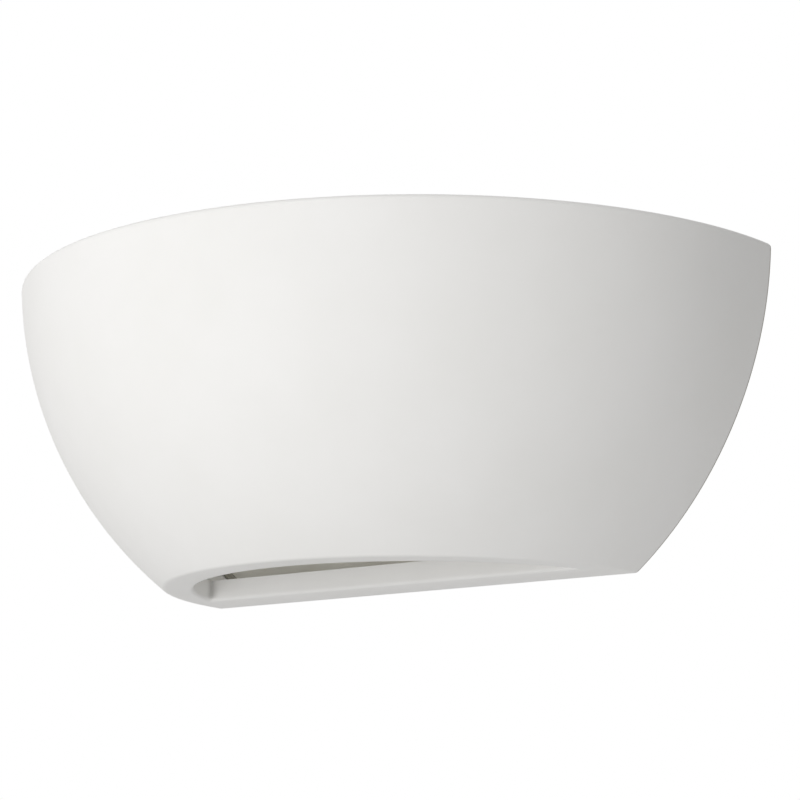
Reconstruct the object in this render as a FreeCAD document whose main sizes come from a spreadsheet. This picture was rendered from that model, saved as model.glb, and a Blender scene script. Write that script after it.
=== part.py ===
import FreeCAD, Part

# Plaster wall uplighter: a half bowl cast in gypsum that hangs on a pressed steel back plate, with
# a screw lampholder on a folded arm, its lamp, a terminal block and the internal wiring.
#
# Frame: the wall is the plane y = 0 and the light stands out towards -Y. +Z is up and +X is to the
# right, seen from the room. The origin is midway between the two wall screws. Millimetres.

import math
import os
import re

import Sketcher
from FreeCAD import Vector

# Every driving size: its name in the sheet, its value in millimetres and what it is.
SIZES = [
    ("bowl_radius", 160.5, "outer sphere of the bowl"),
    ("bowl_height", 118.5, "underside of the bowl to its rim"),
    ("bowl_wall", 12, "thickness of the plaster wall"),
    ("floor_thick", 8.5, "thickness of the plaster floor"),
    ("rim_height", 46, "rim above the line of the wall screws"),
    ("rim_below_centre", 6, "rim below the centre of the sphere"),
    ("rim_round", 2, "rounding of the rim and of the edges that meet the wall"),
    ("base_round", 3, "rounding round the foot of the bowl"),
    ("floor_corner", 2.5, "hollow corner between wall and floor"),
    ("slot_front_border", 13.6, "floor left in front of the downlight slot"),
    ("slot_arc_back", 4.9, "centre of that arc behind the wall plane"),
    ("slot_back_border", 22.9, "floor left between the slot and the wall"),
    ("slot_corner", 1.5, "corner radius of the slot in plan"),
    ("slot_round", 1.5, "rounding of the slot's lower edge"),
    ("ear_depth", 33.5, "outer sphere to the inner face of each ear"),
    ("ear_front", 36, "how far each ear stands out from the wall"),
    ("ear_root", 14, "straight part of the ear's inner face"),
    ("ear_slope", 10, "sideways run of the ear's sloping face"),
    ("ear_half_height", 18, "half the height of each ear"),
    ("tab_thick", 2, "steel hanger tab"),
    ("tab_half_width", 9, "half the height of the tab's free end"),
    ("tab_tail_half", 13, "half the height of the tab's fishtail"),
    ("tab_nose", 10, "tab beyond the middle of the stud"),
    ("tab_neck", 5, "parallel part of the tab inside the ear"),
    ("tab_bed", 16, "length of the tab bedded in the ear"),
    ("tab_corner", 6, "corner radius of the tab's free end"),
    ("tab_hole_radius", 2.5, "hole of the tab round its stud"),
    ("stud_inset", 10, "inner face of each ear to the middle of its stud"),
    ("stud_radius", 2, "M4 stud"),
    ("stud_length", 18, "stud out from the front of the plate"),
    ("stud_head_radius", 3.25, "clinch head of the stud, flush in the plate"),
    ("washer_radius", 5, "plain washer under each knurled nut"),
    ("washer_thick", 1, "plain washer under each knurled nut"),
    ("nut_radius", 6, "knurled head of the nut"),
    ("nut_collar_radius", 4.5, "collar of the knurled nut"),
    ("nut_collar", 2.5, "length of the nut's collar"),
    ("nut_length", 9, "whole length of the knurled nut"),
    ("sheet_thick", 1.5, "pressed steel of the back plate"),
    ("plate_gap", 3, "back plate to the plaster all round"),
    ("plate_top", 40, "top edge of the plate above the wall screws"),
    ("plate_ear_gap", 2, "upright edges of the plate to the ears"),
    ("plate_corner", 10, "top corners of the plate"),
    ("panel_inset", 19, "wall screws to the ends of the raised panel's face"),
    ("panel_half_height", 28, "half the height of the raised panel's face"),
    ("panel_rise", 6, "how far the panel is pressed out"),
    ("panel_corner", 8, "corner radius of the panel's face"),
    ("fixing_inset", 22, "studs to the wall screws"),
    ("fixing_slot_length", 12, "slots for the wall screws"),
    ("fixing_slot_radius", 2.5, "half the width of those slots"),
    ("cable_hole_along", 22, "cable entry right of the middle"),
    ("cable_radius", 5, "bore of the cable grommet"),
    ("grommet_neck_radius", 7, "grommet in the hole of the plate"),
    ("grommet_flange_radius", 9, "flanges of the grommet"),
    ("grommet_flange", 2, "thickness of each flange"),
    ("arm_thick", 2, "folded steel of the lamp arm"),
    ("arm_half_width", 13, "half the width of the arm"),
    ("arm_foot", 26, "length of the arm's foot on the panel"),
    ("bend_radius", 2, "inside radius of the arm's fold"),
    ("arm_inset", 6, "end of the raised panel's face to the lampholder's seat"),
    ("lamp_reach", 58, "lamp axis out from the wall"),
    ("wire_hole_reach", 22, "wire hole of the arm out from the wall"),
    ("bush_bore_radius", 2.75, "bore of the wire bush"),
    ("bush_neck_radius", 4, "bush in the hole of the arm"),
    ("bush_flange_radius", 5.2, "flanges of the bush"),
    ("bush_flange", 1.2, "thickness of each flange of the bush"),
    ("rivet_radius", 1.6, "rivets of the arm's foot"),
    ("rivet_head_radius", 3, "rivet heads"),
    ("rivet_head", 1.2, "height of the rivet heads"),
    ("rivet_spacing", 16, "rivet to rivet"),
    ("rivet_inset", 18, "rivets from the fold of the arm"),
    ("block_offset", 14, "terminal block left of the middle"),
    ("block_length", 20, "terminal block along the wires"),
    ("block_depth", 15, "terminal block out from the panel"),
    ("way_pitch", 10, "one way of the block to the next"),
    ("way_end", 6, "outer way to the end of the block"),
    ("way_gap", 1.6, "groove between two ways"),
    ("tube_length", 14, "brass tube of each way"),
    ("tube_radius", 2.2, "outside of the brass tube"),
    ("tube_bore_radius", 1.5, "bore of the brass tube"),
    ("clamp_spacing", 9, "clamping screw to clamping screw"),
    ("clamp_radius", 1.5, "M3 clamping screw"),
    ("clamp_length", 5, "M3 clamping screw"),
    ("clamp_access_radius", 2, "hole that lets the screwdriver in"),
    ("block_screw_radius", 1.45, "screws that hold the block"),
    ("block_head_radius", 2.75, "their heads"),
    ("block_head", 2, "height of their heads"),
    ("block_head_sunk", 2.9, "front of the block to those heads' tops"),
    ("wire_radius", 1.1, "insulated single-core wire"),
    ("wire_pair_gap", 0.4, "between the two lamp wires in the bush"),
    ("wire_grip", 4, "wire inside the brass tube"),
    ("earth_inset", 10, "lampholder's seat to the earth screw"),
    ("earth_height", 20.5, "earth screw above the middle"),
    ("earth_shank_radius", 2, "M4 earth screw"),
    ("earth_head_radius", 4, "its pan head"),
    ("earth_head", 2.6, "height of its head"),
    ("earth_washer_thick", 0.7, "toothed washer under the head"),
    ("earth_nut_flats", 7, "M4 nut across flats"),
    ("earth_nut_length", 3.2, "M4 nut"),
    ("tag_thick", 0.8, "ring tag of the earth wire"),
    ("tag_radius", 4, "ring of the tag"),
    ("tag_neck_half", 1.6, "half the width of its neck"),
    ("barrel_radius", 1.9, "crimped barrel of the tag"),
    ("barrel_start", 6, "screw to the near end of the barrel"),
    ("barrel_length", 6, "crimped barrel of the tag"),
    ("nipple_radius", 5, "M10 nipple"),
    ("nipple_bore_radius", 4, "wire way through the nipple"),
    ("nipple_behind", 9, "nipple behind the lampholder's seat"),
    ("nipple_ahead", 7, "nipple inside the lampholder"),
    ("thread_gap", 0.1, "play of screwed and slipped fits"),
    ("hole_gap", 0.2, "play of the M10 nipple in its holes"),
    ("locknut_flats", 14, "M10 locknut across flats"),
    ("locknut_length", 3, "M10 locknut"),
    ("lock_washer_thick", 1, "M10 toothed washer"),
    ("lock_washer_radius", 8, "M10 toothed washer"),
    ("holder_boss_radius", 9, "boss of the lampholder's dome"),
    ("holder_radius", 19.5, "largest radius of the lampholder"),
    ("holder_wall", 2, "moulded wall of the dome"),
    ("dome_length", 24, "dome from its seat to the skirt"),
    ("dome_lip", 4, "straight end of the dome"),
    ("dome_round", 13, "arc that swells the dome to the holder's radius"),
    ("insert_radius", 17, "insert that carries the contacts"),
    ("insert_back", 18, "back of the insert from the seat"),
    ("insert_length", 8, "thickness of the insert"),
    ("barrier_half", 0.8, "half the rib between the terminals"),
    ("terminal_gap", 1.5, "lamp axis to each terminal"),
    ("terminal_height", 5, "terminal away from the axis"),
    ("terminal_half_width", 3.5, "half the width of a terminal"),
    ("terminal_length", 6, "terminal along the axis"),
    ("terminal_screw_radius", 1.4, "screw of a terminal"),
    ("terminal_screw_length", 3, "screw head beside a terminal"),
    ("skirt_length", 30, "skirt of the lampholder"),
    ("skirt_end_radius", 18.6, "outside of the skirt at its mouth"),
    ("skirt_bore_radius", 15, "bore of the skirt"),
    ("shell_radius", 14.25, "outside of the screw shell"),
    ("shell_wall", 0.6, "sheet of the screw shell"),
    ("shell_length", 26, "screw shell"),
    ("shell_eye_radius", 9, "opening in the floor of the shell"),
    ("leaf_thick", 0.5, "centre contact"),
    ("leaf_half_width", 2.5, "half the width of the centre contact"),
    ("leaf_rise", 2.7, "centre contact's top above the insert"),
    ("tip_gap", 0.3, "centre contact to the lamp's tip"),
    ("tip_radius", 4.75, "contact of the lamp"),
    ("tip_length", 2, "contact of the lamp"),
    ("insulator_radius", 11, "glass insulator of the cap"),
    ("insulator_length", 4, "glass insulator of the cap"),
    ("cap_radius", 13, "screw cap of the lamp"),
    ("cap_wall", 0.6, "sheet of the screw cap"),
    ("cap_length", 21, "screw cap"),
    ("collar_neck", 6, "collar inside the cap"),
    ("collar_start_radius", 14, "collar where it leaves the cap"),
    ("collar_radius", 24.8, "collar at the globe"),
    ("collar_wall", 1.5, "wall of the collar"),
    ("collar_flare", 26, "length of the collar's flare"),
    ("collar_lip", 5, "straight end of the collar"),
    ("board_radius", 20, "round board of the light source"),
    ("board_thick", 1.6, "both circuit boards"),
    ("ledge_width", 5, "ledge of the collar under the board"),
    ("driver_half_width", 9, "half the width of the driver board"),
    ("driver_length", 28, "driver board"),
    ("chip_side", 3, "one light-emitting chip"),
    ("chip_height", 0.7, "one light-emitting chip"),
    ("chip_ring_radius", 13, "ring of chips"),
    ("globe_radius", 30, "globe of the lamp"),
    ("globe_wall", 1.5, "wall of the globe"),
    ("globe_neck_radius", 23.1, "neck of the globe inside the collar"),
    ("globe_neck", 3.6, "length of that neck"),
]
CHIP_COUNT = 8

# Sizes that follow from others, so that the pieces keep together when one of them changes.
FOLLOWING = {
    "slot_radius": "(sqrt(bowl_radius^2 - (bowl_height + rim_below_centre)^2)"
                   " - slot_front_border + slot_arc_back)",
    "ear_inner": "(bowl_radius - ear_depth)",
    "stud_offset": "(ear_inner - stud_inset)",
    "plate_half_width": "(ear_inner - plate_ear_gap)",
    "fixing_offset": "(stud_offset - fixing_inset)",
    "panel_half_length": "(fixing_offset - panel_inset)",
    "holder_offset": "(panel_half_length - arm_inset)",
    "earth_offset": "(holder_offset - earth_inset)",
}
# Levels out from the wall, along -Y.
PANEL_FACE = "(panel_rise + sheet_thick)"
FOOT_FACE = "(panel_rise + sheet_thick + arm_thick)"
TAB_FACE = "(sheet_thick + tab_thick)"
WASHER_FACE = "(sheet_thick + tab_thick + washer_thick)"
TUBE_LEVEL = "(panel_rise + sheet_thick + block_depth / 2)"
BARREL_LEVEL = "(panel_rise + sheet_thick + barrel_radius)"
# Heights and places across the wall.
CENTRE_HEIGHT = "(rim_height + rim_below_centre)"
BASE_HEIGHT = "(rim_height - bowl_height)"
FLOOR_HEIGHT = "(rim_height - bowl_height + floor_thick)"
INNER_RADIUS = "(bowl_radius - bowl_wall)"
RIVET_X = "(rivet_inset - holder_offset - arm_thick)"
# Stations along the lamp axis from the lampholder's seat on the arm, growing towards the lamp.
INSERT_FACE = "(insert_back + insert_length)"
LEAF_TOP = "(insert_back + insert_length + leaf_rise)"
TIP_START = "(insert_back + insert_length + leaf_rise + tip_gap)"
GLASS_START = "(%s + tip_length)" % TIP_START
CAP_START = "(%s + insulator_length)" % GLASS_START
CAP_END = "(%s + cap_length)" % CAP_START
FLARE_END = "(%s + collar_flare)" % CAP_END
BOARD_FACE = "(%s + board_thick)" % FLARE_END
COLLAR_END = "(%s + collar_lip)" % FLARE_END
GLOBE_INNER = "(globe_radius - globe_wall)"
NECK_INNER = "(globe_neck_radius - globe_wall)"
GLOBE_CENTRE = "(%s + globe_neck + sqrt(globe_radius^2 - globe_neck_radius^2))" % BOARD_FACE

doc = FreeCAD.newDocument("wall_uplighter")
sheet = doc.addObject("Spreadsheet::Sheet", "dims")
NAMES = {name for name, value, meaning in SIZES}
nodes = []


# ---------------------------------------------------------------- sheet and formulas

def fill_sheet():
    """Write every driving size into the sheet under its own name."""
    for row, (name, value, meaning) in enumerate(SIZES, start=1):
        sheet.set("A%d" % row, name)
        sheet.set("B%d" % row, str(value))
        sheet.set("C%d" % row, meaning)
        sheet.setAlias("B%d" % row, name)
    doc.recompute()


def linked(formula):
    """Formula whose size names point at the sheet."""
    def point(word):
        name = word.group()
        if name in FOLLOWING:
            return linked(FOLLOWING[name])
        return "dims." + name if name in NAMES else name
    return re.sub(r"[a-z][a-z_]*", point, str(formula))


def size(formula):
    """Number of millimetres that a formula of sizes comes to."""
    value = sheet.evalExpression(linked(formula))
    return float(getattr(value, "Value", value))


def bind(thing, path, formula):
    """Tie one property of an object to a formula of sizes."""
    thing.setExpression(path, linked(formula))


# ---------------------------------------------------------------- sketches and features

def new_body(name):
    """Empty body for one piece."""
    body = doc.addObject("PartDesign::Body", name)
    body.Label = name
    return body


def new_sketch(body, plane, offset=("0", "0", "0")):
    """Sketch on one of the body's own planes, moved in that plane's axes by three formulas."""
    sketch = body.newObject("Sketcher::SketchObject", body.Name + "_sketch")
    support = [p for p in body.Origin.OriginFeatures if p.Role == plane][0]
    sketch.AttachmentSupport = (support, [""])
    sketch.MapMode = "FlatFace"
    for axis, formula in zip("xyz", offset):
        if formula != "0":
            bind(sketch, "AttachmentOffset.Base." + axis, formula)
    return sketch


def place_vertex(sketch, edge, end, corner):
    """Hold one end of an edge at a corner given by two formulas."""
    for kind, formula in zip(("DistanceX", "DistanceY"), corner):
        index = sketch.addConstraint(Sketcher.Constraint(kind, edge, end, size(formula)))
        bind(sketch, "Constraints[%d]" % index, formula)


def arc_between(start, end, radius, bulge):
    """Arc of under half a circle, bulging to the left (+1) or right (-1) of its chord."""
    chord = end - start
    left = Vector(-chord.y, chord.x, 0).normalize()
    inset = math.sqrt(radius ** 2 - (chord.Length / 2) ** 2)
    centre = start + chord * 0.5 - left * bulge * inset
    first, last = (start, end) if bulge < 0 else (end, start)
    from_angle = math.atan2(first.y - centre.y, first.x - centre.x)
    to_angle = math.atan2(last.y - centre.y, last.x - centre.x)
    if to_angle < from_angle:
        to_angle += 2 * math.pi
    return Part.ArcOfCircle(Part.Circle(centre, Vector(0, 0, 1), radius), from_angle, to_angle)


def draw_outline(sketch, corners, arcs=None):
    """Closed outline through corners. arcs maps an edge's number to its radius and its bulge."""
    arcs = arcs or {}
    points = [Vector(size(across), size(up), 0) for across, up in corners]
    first = sketch.GeometryCount
    count = len(points)
    starts = []
    for i, start in enumerate(points):
        end = points[(i + 1) % count]
        if i in arcs:
            radius, bulge = arcs[i]
            sketch.addGeometry(arc_between(start, end, size(radius), bulge))
            starts.append(1 if bulge < 0 else 2)
        else:
            sketch.addGeometry(Part.LineSegment(start, end))
            starts.append(1)
    for i in range(count):
        following = (i + 1) % count
        sketch.addConstraint(Sketcher.Constraint(
            "Coincident", first + i, 3 - starts[i], first + following, starts[following]))
    for i, corner in enumerate(corners):
        place_vertex(sketch, first + i, starts[i], corner)
    for i, (radius, bulge) in arcs.items():
        index = sketch.addConstraint(Sketcher.Constraint("Radius", first + i, size(radius)))
        bind(sketch, "Constraints[%d]" % index, radius)


def draw_circle(sketch, across, up, radius):
    """Circle whose centre and radius are formulas."""
    centre = Vector(size(across), size(up), 0)
    edge = sketch.addGeometry(Part.Circle(centre, Vector(0, 0, 1), size(radius)))
    place_vertex(sketch, edge, 3, (across, up))
    index = sketch.addConstraint(Sketcher.Constraint("Radius", edge, size(radius)))
    bind(sketch, "Constraints[%d]" % index, radius)


def draw_rounded_box(sketch, half_length, half_height, radius):
    """Rectangle about the sketch's origin with round corners."""
    corners = []
    for sx, sy in ((1, -1), (1, 1), (-1, 1), (-1, -1)):
        side = ("%d * (%s)" % (sx, half_length), "%d * (%s - %s)" % (sy, half_height, radius))
        top = ("%d * (%s - %s)" % (sx, half_length, radius), "%d * (%s)" % (sy, half_height))
        corners += [top, side] if sx == -sy else [side, top]
    draw_outline(sketch, corners, {i: (radius, -1) for i in (0, 2, 4, 6)})


def draw_slot(sketch, across, up, length, radius):
    """Slot along the sketch's first axis, each end made of two quarter rounds."""
    reach = "(%s) / 2" % length
    straight = "((%s) / 2 - (%s))" % (length, radius)
    corners = [
        ("%s - %s" % (across, straight), "%s - %s" % (up, radius)),
        ("%s + %s" % (across, straight), "%s - %s" % (up, radius)),
        ("%s + %s" % (across, reach), up),
        ("%s + %s" % (across, straight), "%s + %s" % (up, radius)),
        ("%s - %s" % (across, straight), "%s + %s" % (up, radius)),
        ("%s - %s" % (across, reach), up),
    ]
    draw_outline(sketch, corners, {i: (radius, -1) for i in (1, 2, 4, 5)})


def extrude(body, kind, sketch, length, reverse=False, middle=False):
    """Pad or pocket of a sketch by a formula's length."""
    feature = body.newObject("PartDesign::" + kind, body.Name + "_" + kind.lower())
    feature.Profile = sketch
    feature.Reversed = reverse
    feature.Midplane = middle
    bind(feature, "Length", length)
    return feature


def revolve(body, sketch, axis, kind="Revolution", degrees=360, reverse=False):
    """Turn a sketch about one of its axes, added (Revolution) or cut (Groove)."""
    feature = body.newObject("PartDesign::" + kind, body.Name + "_" + kind.lower())
    feature.Profile = sketch
    feature.ReferenceAxis = (sketch, [axis])
    feature.Angle = degrees
    feature.Reversed = reverse
    return feature


def loft(body, kind, first, second):
    """Ruled loft from one sketch to another, added or cut."""
    feature = body.newObject("PartDesign::%sLoft" % kind, body.Name + "_loft")
    feature.Profile = first
    feature.Sections = [second]
    feature.Ruled = True
    return feature


def round_edges(body, base, wanted, radius):
    """Fillet on the edges of a feature that a test picks."""
    doc.recompute()
    chosen = ["Edge%d" % n for n, edge in enumerate(base.Shape.Edges, start=1) if wanted(edge)]
    if not chosen:
        raise RuntimeError("no edge to round on " + body.Name)
    feature = body.newObject("PartDesign::Fillet", body.Name + "_fillet")
    feature.Base = (base, chosen)
    bind(feature, "Radius", radius)
    return feature


def turned_along_x(name, station, out, up, corners, arcs=None):
    """Piece turned about a line along +X. Corners are (station, radius) from its own origin."""
    body = new_body(name)
    sketch = new_sketch(body, "XZ_Plane", (station, up, out))
    draw_outline(sketch, corners, arcs)
    revolve(body, sketch, "H_Axis")
    return body


def turned_out(name, across, up, corners, arcs=None):
    """Piece turned about a line square to the wall. Corners are (radius, level out)."""
    body = new_body(name)
    sketch = new_sketch(body, "XY_Plane", (across, "0", up))
    draw_outline(sketch, [(radius, "-(%s)" % level) for radius, level in corners], arcs)
    revolve(body, sketch, "V_Axis")
    return body


def on_lamp_axis(name, corners, arcs=None):
    """Piece turned about the lamp axis. Corners are (station from the seat, radius)."""
    return turned_along_x(name, "-holder_offset", "lamp_reach", "0", corners, arcs)


def ring(inner, outer, start, end):
    """Corners of a plain ring for a turned piece: radius first, level second."""
    return [(inner, start), (outer, start), (outer, end), (inner, end)]


def sleeve(start, end, inner, outer):
    """Corners of a plain sleeve along the lamp axis: station first, radius second."""
    return [(start, inner), (start, outer), (end, outer), (end, inner)]


def keep(name, piece):
    """Enter a finished piece in the list of nodes under its name."""
    piece.Label = name
    nodes.append(piece)
    return piece


def keep_group(name, pieces):
    """Enter several like pieces as one node."""
    group = doc.addObject("Part::Compound", name)
    group.Links = pieces
    return keep(name, group)


# ---------------------------------------------------------------- plaster bowl

def height_radius(radius, height):
    """Formula for a sphere's distance from the axis at a given height."""
    return "sqrt((%s)^2 - (%s - (%s))^2)" % (radius, CENTRE_HEIGHT, height)


def soft_corner(sphere, level, centre_up, reach):
    """Ends of a rounding between a sphere and a level face: on the face, then on the sphere."""
    across = "sqrt((%s)^2 - (%s - (%s))^2)" % (reach, CENTRE_HEIGHT, centre_up)
    share = "(%s) / (%s)" % (sphere, reach)
    height = "%s + ((%s) - %s) * %s" % (CENTRE_HEIGHT, centre_up, CENTRE_HEIGHT, share)
    return (across, level), ("%s * %s" % (across, share), height)


def draw_bowl_outside(body):
    """Section of the solid half bowl, with its foot and rim rounded."""
    section = new_sketch(body, "XZ_Plane")
    foot_flat, foot_sphere = soft_corner(
        "bowl_radius", BASE_HEIGHT, BASE_HEIGHT + " + base_round",
        "bowl_radius - base_round")
    rim_flat, rim_sphere = soft_corner(
        "bowl_radius", "rim_height", "rim_height - rim_round",
        "bowl_radius - rim_round")
    corners = [("0", BASE_HEIGHT), foot_flat, foot_sphere, rim_sphere, rim_flat, ("0", "rim_height")]
    arcs = {1: ("base_round", -1), 2: ("bowl_radius", -1), 3: ("rim_round", -1)}
    draw_outline(section, corners, arcs)
    return section


def draw_bowl_inside(body):
    """Section of the hollow, with its lower corner rounded and its rim eased."""
    section = new_sketch(body, "XZ_Plane")
    floor_flat, floor_sphere = soft_corner(
        INNER_RADIUS, FLOOR_HEIGHT, FLOOR_HEIGHT + " + floor_corner",
        INNER_RADIUS + " - floor_corner")
    rim_flat, rim_sphere = soft_corner(
        INNER_RADIUS, "rim_height", "rim_height - rim_round",
        INNER_RADIUS + " + rim_round")
    corners = [("0", FLOOR_HEIGHT), floor_flat, floor_sphere, rim_sphere, rim_flat,
               ("0", "rim_height")]
    arcs = {1: ("floor_corner", -1), 2: (INNER_RADIUS, -1), 3: ("rim_round", 1)}
    draw_outline(section, corners, arcs)
    return section


def draw_downlight_slot(body, level):
    """Plan of the slot: an arc in front, a straight edge behind and two small corners."""
    sketch = new_sketch(body, "XY_Plane", ("0", "0", level))
    half_back = "sqrt(slot_radius^2 - (slot_back_border + slot_arc_back)^2)"
    corners = [
        ("-" + half_back, "-slot_back_border"),
        ("0", "slot_arc_back - slot_radius"),
        (half_back, "-slot_back_border"),
    ]
    draw_outline(sketch, corners, {0: ("slot_radius", -1), 1: ("slot_radius", -1)})
    return sketch


def is_level(edge, height):
    """True where an edge lies at one height."""
    box = edge.BoundBox
    return abs(box.ZMin - height) < 1e-6 and abs(box.ZMax - height) < 1e-6


def on_wall(edge):
    """True where an edge lies in the plane of the wall."""
    return max(abs(edge.BoundBox.YMin), abs(edge.BoundBox.YMax)) < 1e-6


def make_bowl_shell():
    """Half bowl with its floor and downlight slot, turned through half a circle."""
    body = new_body("bowl_shell")
    revolve(body, draw_bowl_outside(body), "V_Axis", "Revolution", 180, reverse=True)
    revolve(body, draw_bowl_inside(body), "V_Axis", "Groove", 180, reverse=True)
    slot = draw_downlight_slot(body, BASE_HEIGHT)
    slotted = extrude(body, "Pocket", slot, "floor_thick", reverse=True)
    base = size(BASE_HEIGHT)
    middle_radius = size(INNER_RADIUS + " + bowl_wall / 2")

    def upright(edge):
        """Corner of the slot, through the floor."""
        return abs(edge.BoundBox.ZLength - size("floor_thick")) < 1e-6

    def slot_mouth(edge):
        """Lower edge of the slot."""
        return is_level(edge, base) and edge.BoundBox.YMin > size("slot_arc_back - slot_radius - 1") \
            and not on_wall(edge)

    def outer_wall_edge(edge):
        """Outer edge of the plaster against the wall."""
        middle = edge.valueAt((edge.FirstParameter + edge.LastParameter) / 2)
        from_centre = math.hypot(middle.x, middle.z - size(CENTRE_HEIGHT))
        return on_wall(edge) and (from_centre > middle_radius or is_level(edge, base))

    step = round_edges(body, slotted, upright, "slot_corner")
    step = round_edges(body, step, slot_mouth, "slot_round")
    round_edges(body, step, outer_wall_edge, "rim_round")
    return body


def sphere_in_wall(name):
    """Sphere halfway through the plaster wall."""
    sphere = doc.addObject("Part::Sphere", name)
    bind(sphere, "Radius", INNER_RADIUS + " + bowl_wall / 2")
    bind(sphere, "Placement.Base.z", CENTRE_HEIGHT)
    return sphere


def make_ears():
    """Lug inside each end of the wall, bounded by a sphere within the plaster."""
    ears = []
    for side, sign in (("left", "-"), ("right", "")):
        body = new_body("ear_block_" + side)
        sketch = new_sketch(body, "XY_Plane", ("0", "0", "-ear_half_height"))
        across = [
            "ear_inner", "ear_inner", "ear_inner + ear_slope", "bowl_radius", "bowl_radius"]
        out = ["0", "ear_root", "ear_front", "ear_front", "0"]
        corners = [("%s(%s)" % (sign, a), "-(%s)" % o) for a, o in zip(across, out)]
        draw_outline(sketch, corners)
        extrude(body, "Pad", sketch, "2 * ear_half_height")
        ear = doc.addObject("Part::Common", "ear_" + side)
        ear.Base = body
        ear.Tool = sphere_in_wall("ear_limit_" + side)
        ears.append(ear)
    return ears


def draw_tab(sketch, sign):
    """Outline of a hanger tab: round nose on the stud, fishtail in the ear."""
    def across(formula):
        return "%s(%s)" % (sign, formula)

    nose = "stud_offset - tab_nose"
    neck = "ear_inner + tab_neck"
    tail = "ear_inner + tab_bed"
    corners = [
        (across(nose), "tab_half_width - tab_corner"),
        (across(nose + " + tab_corner"), "tab_half_width"),
        (across(neck), "tab_half_width"),
        (across(tail), "tab_tail_half"),
        (across(tail), "-tab_tail_half"),
        (across(neck), "-tab_half_width"),
        (across(nose + " + tab_corner"), "-tab_half_width"),
        (across(nose), "-(tab_half_width - tab_corner)"),
    ]
    bulge = 1 if sign == "" else -1
    draw_outline(sketch, corners, {0: ("tab_corner", bulge), 6: ("tab_corner", bulge)})


def make_plaster_bowl():
    """Half bowl with its ears, and a recess in each ear where the hanger tab is bedded."""
    shell = make_bowl_shell()
    cast = doc.addObject("Part::MultiFuse", "bowl_cast")
    cast.Shapes = [shell] + make_ears()
    recesses = []
    for side, sign in (("left", "-"), ("right", "")):
        recess = new_body("tab_recess_" + side)
        sketch = new_sketch(recess, "XZ_Plane")
        draw_tab(sketch, sign)
        extrude(recess, "Pad", sketch, TAB_FACE)
        recesses.append(recess)
    both = doc.addObject("Part::Compound", "tab_recesses")
    both.Links = recesses
    bowl = doc.addObject("Part::Cut", "plaster_bowl")
    bowl.Base = cast
    bowl.Tool = both
    return keep("plaster_bowl", bowl)


# ---------------------------------------------------------------- what holds the bowl

def make_hangers():
    """Stud, tab, washer and knurled nut at each end of the bowl."""
    for side, sign in (("left", "-"), ("right", "")):
        stud_x = sign + "stud_offset"
        end = "sheet_thick + stud_length"
        stud = turned_out("stud_" + side, stud_x, "0", [
            ("0", "0"),
            ("stud_head_radius", "0"),
            ("stud_head_radius", "sheet_thick"),
            ("stud_radius", "sheet_thick"),
            ("stud_radius", end + " - stud_radius / 4"),
            ("stud_radius * 3 / 4", end),
            ("0", end),
        ])
        keep("stud_" + side, stud)
        tab = new_body("hanger_tab_" + side)
        plan = new_sketch(tab, "XZ_Plane", ("0", "0", "sheet_thick"))
        draw_tab(plan, sign)
        extrude(tab, "Pad", plan, "tab_thick")
        eye = new_sketch(tab, "XZ_Plane", ("0", "0", "sheet_thick"))
        draw_circle(eye, stud_x, "0", "tab_hole_radius")
        extrude(tab, "Pocket", eye, "tab_thick", reverse=True)
        keep("hanger_tab_" + side, tab)
        bore = "stud_radius + thread_gap"
        washer = turned_out(
            "washer_" + side, stud_x, "0",
            ring("tab_hole_radius", "washer_radius", TAB_FACE, WASHER_FACE))
        keep("washer_" + side, washer)
        collar_end = WASHER_FACE + " + nut_collar"
        nut_end = WASHER_FACE + " + nut_length"
        nut = turned_out("knurled_nut_" + side, stud_x, "0", [
            (bore, WASHER_FACE),
            ("nut_collar_radius", WASHER_FACE),
            ("nut_collar_radius", collar_end),
            ("nut_radius", collar_end),
            ("nut_radius", nut_end + " - nut_radius / 12"),
            ("nut_radius * 11 / 12", nut_end),
            (bore, nut_end),
        ])
        keep("knurled_nut_" + side, nut)


# ---------------------------------------------------------------- back plate

def draw_plate(sketch):
    """Plate that follows the bowl's inner wall low down and stands upright above."""
    sphere = INNER_RADIUS + " - plate_gap"
    bottom = FLOOR_HEIGHT + " + plate_gap"
    foot = height_radius(sphere, bottom)
    waist = "%s - sqrt((%s)^2 - plate_half_width^2)" % (CENTRE_HEIGHT, sphere)
    corners = [
        ("-" + foot, bottom),
        (foot, bottom),
        ("plate_half_width", waist),
        ("plate_half_width", "plate_top - plate_corner"),
        ("plate_half_width - plate_corner", "plate_top"),
        ("-(plate_half_width - plate_corner)", "plate_top"),
        ("-plate_half_width", "plate_top - plate_corner"),
        ("-plate_half_width", waist),
    ]
    arcs = {1: (sphere, -1), 3: ("plate_corner", -1), 5: ("plate_corner", -1), 7: (sphere, -1)}
    draw_outline(sketch, corners, arcs)


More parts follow.
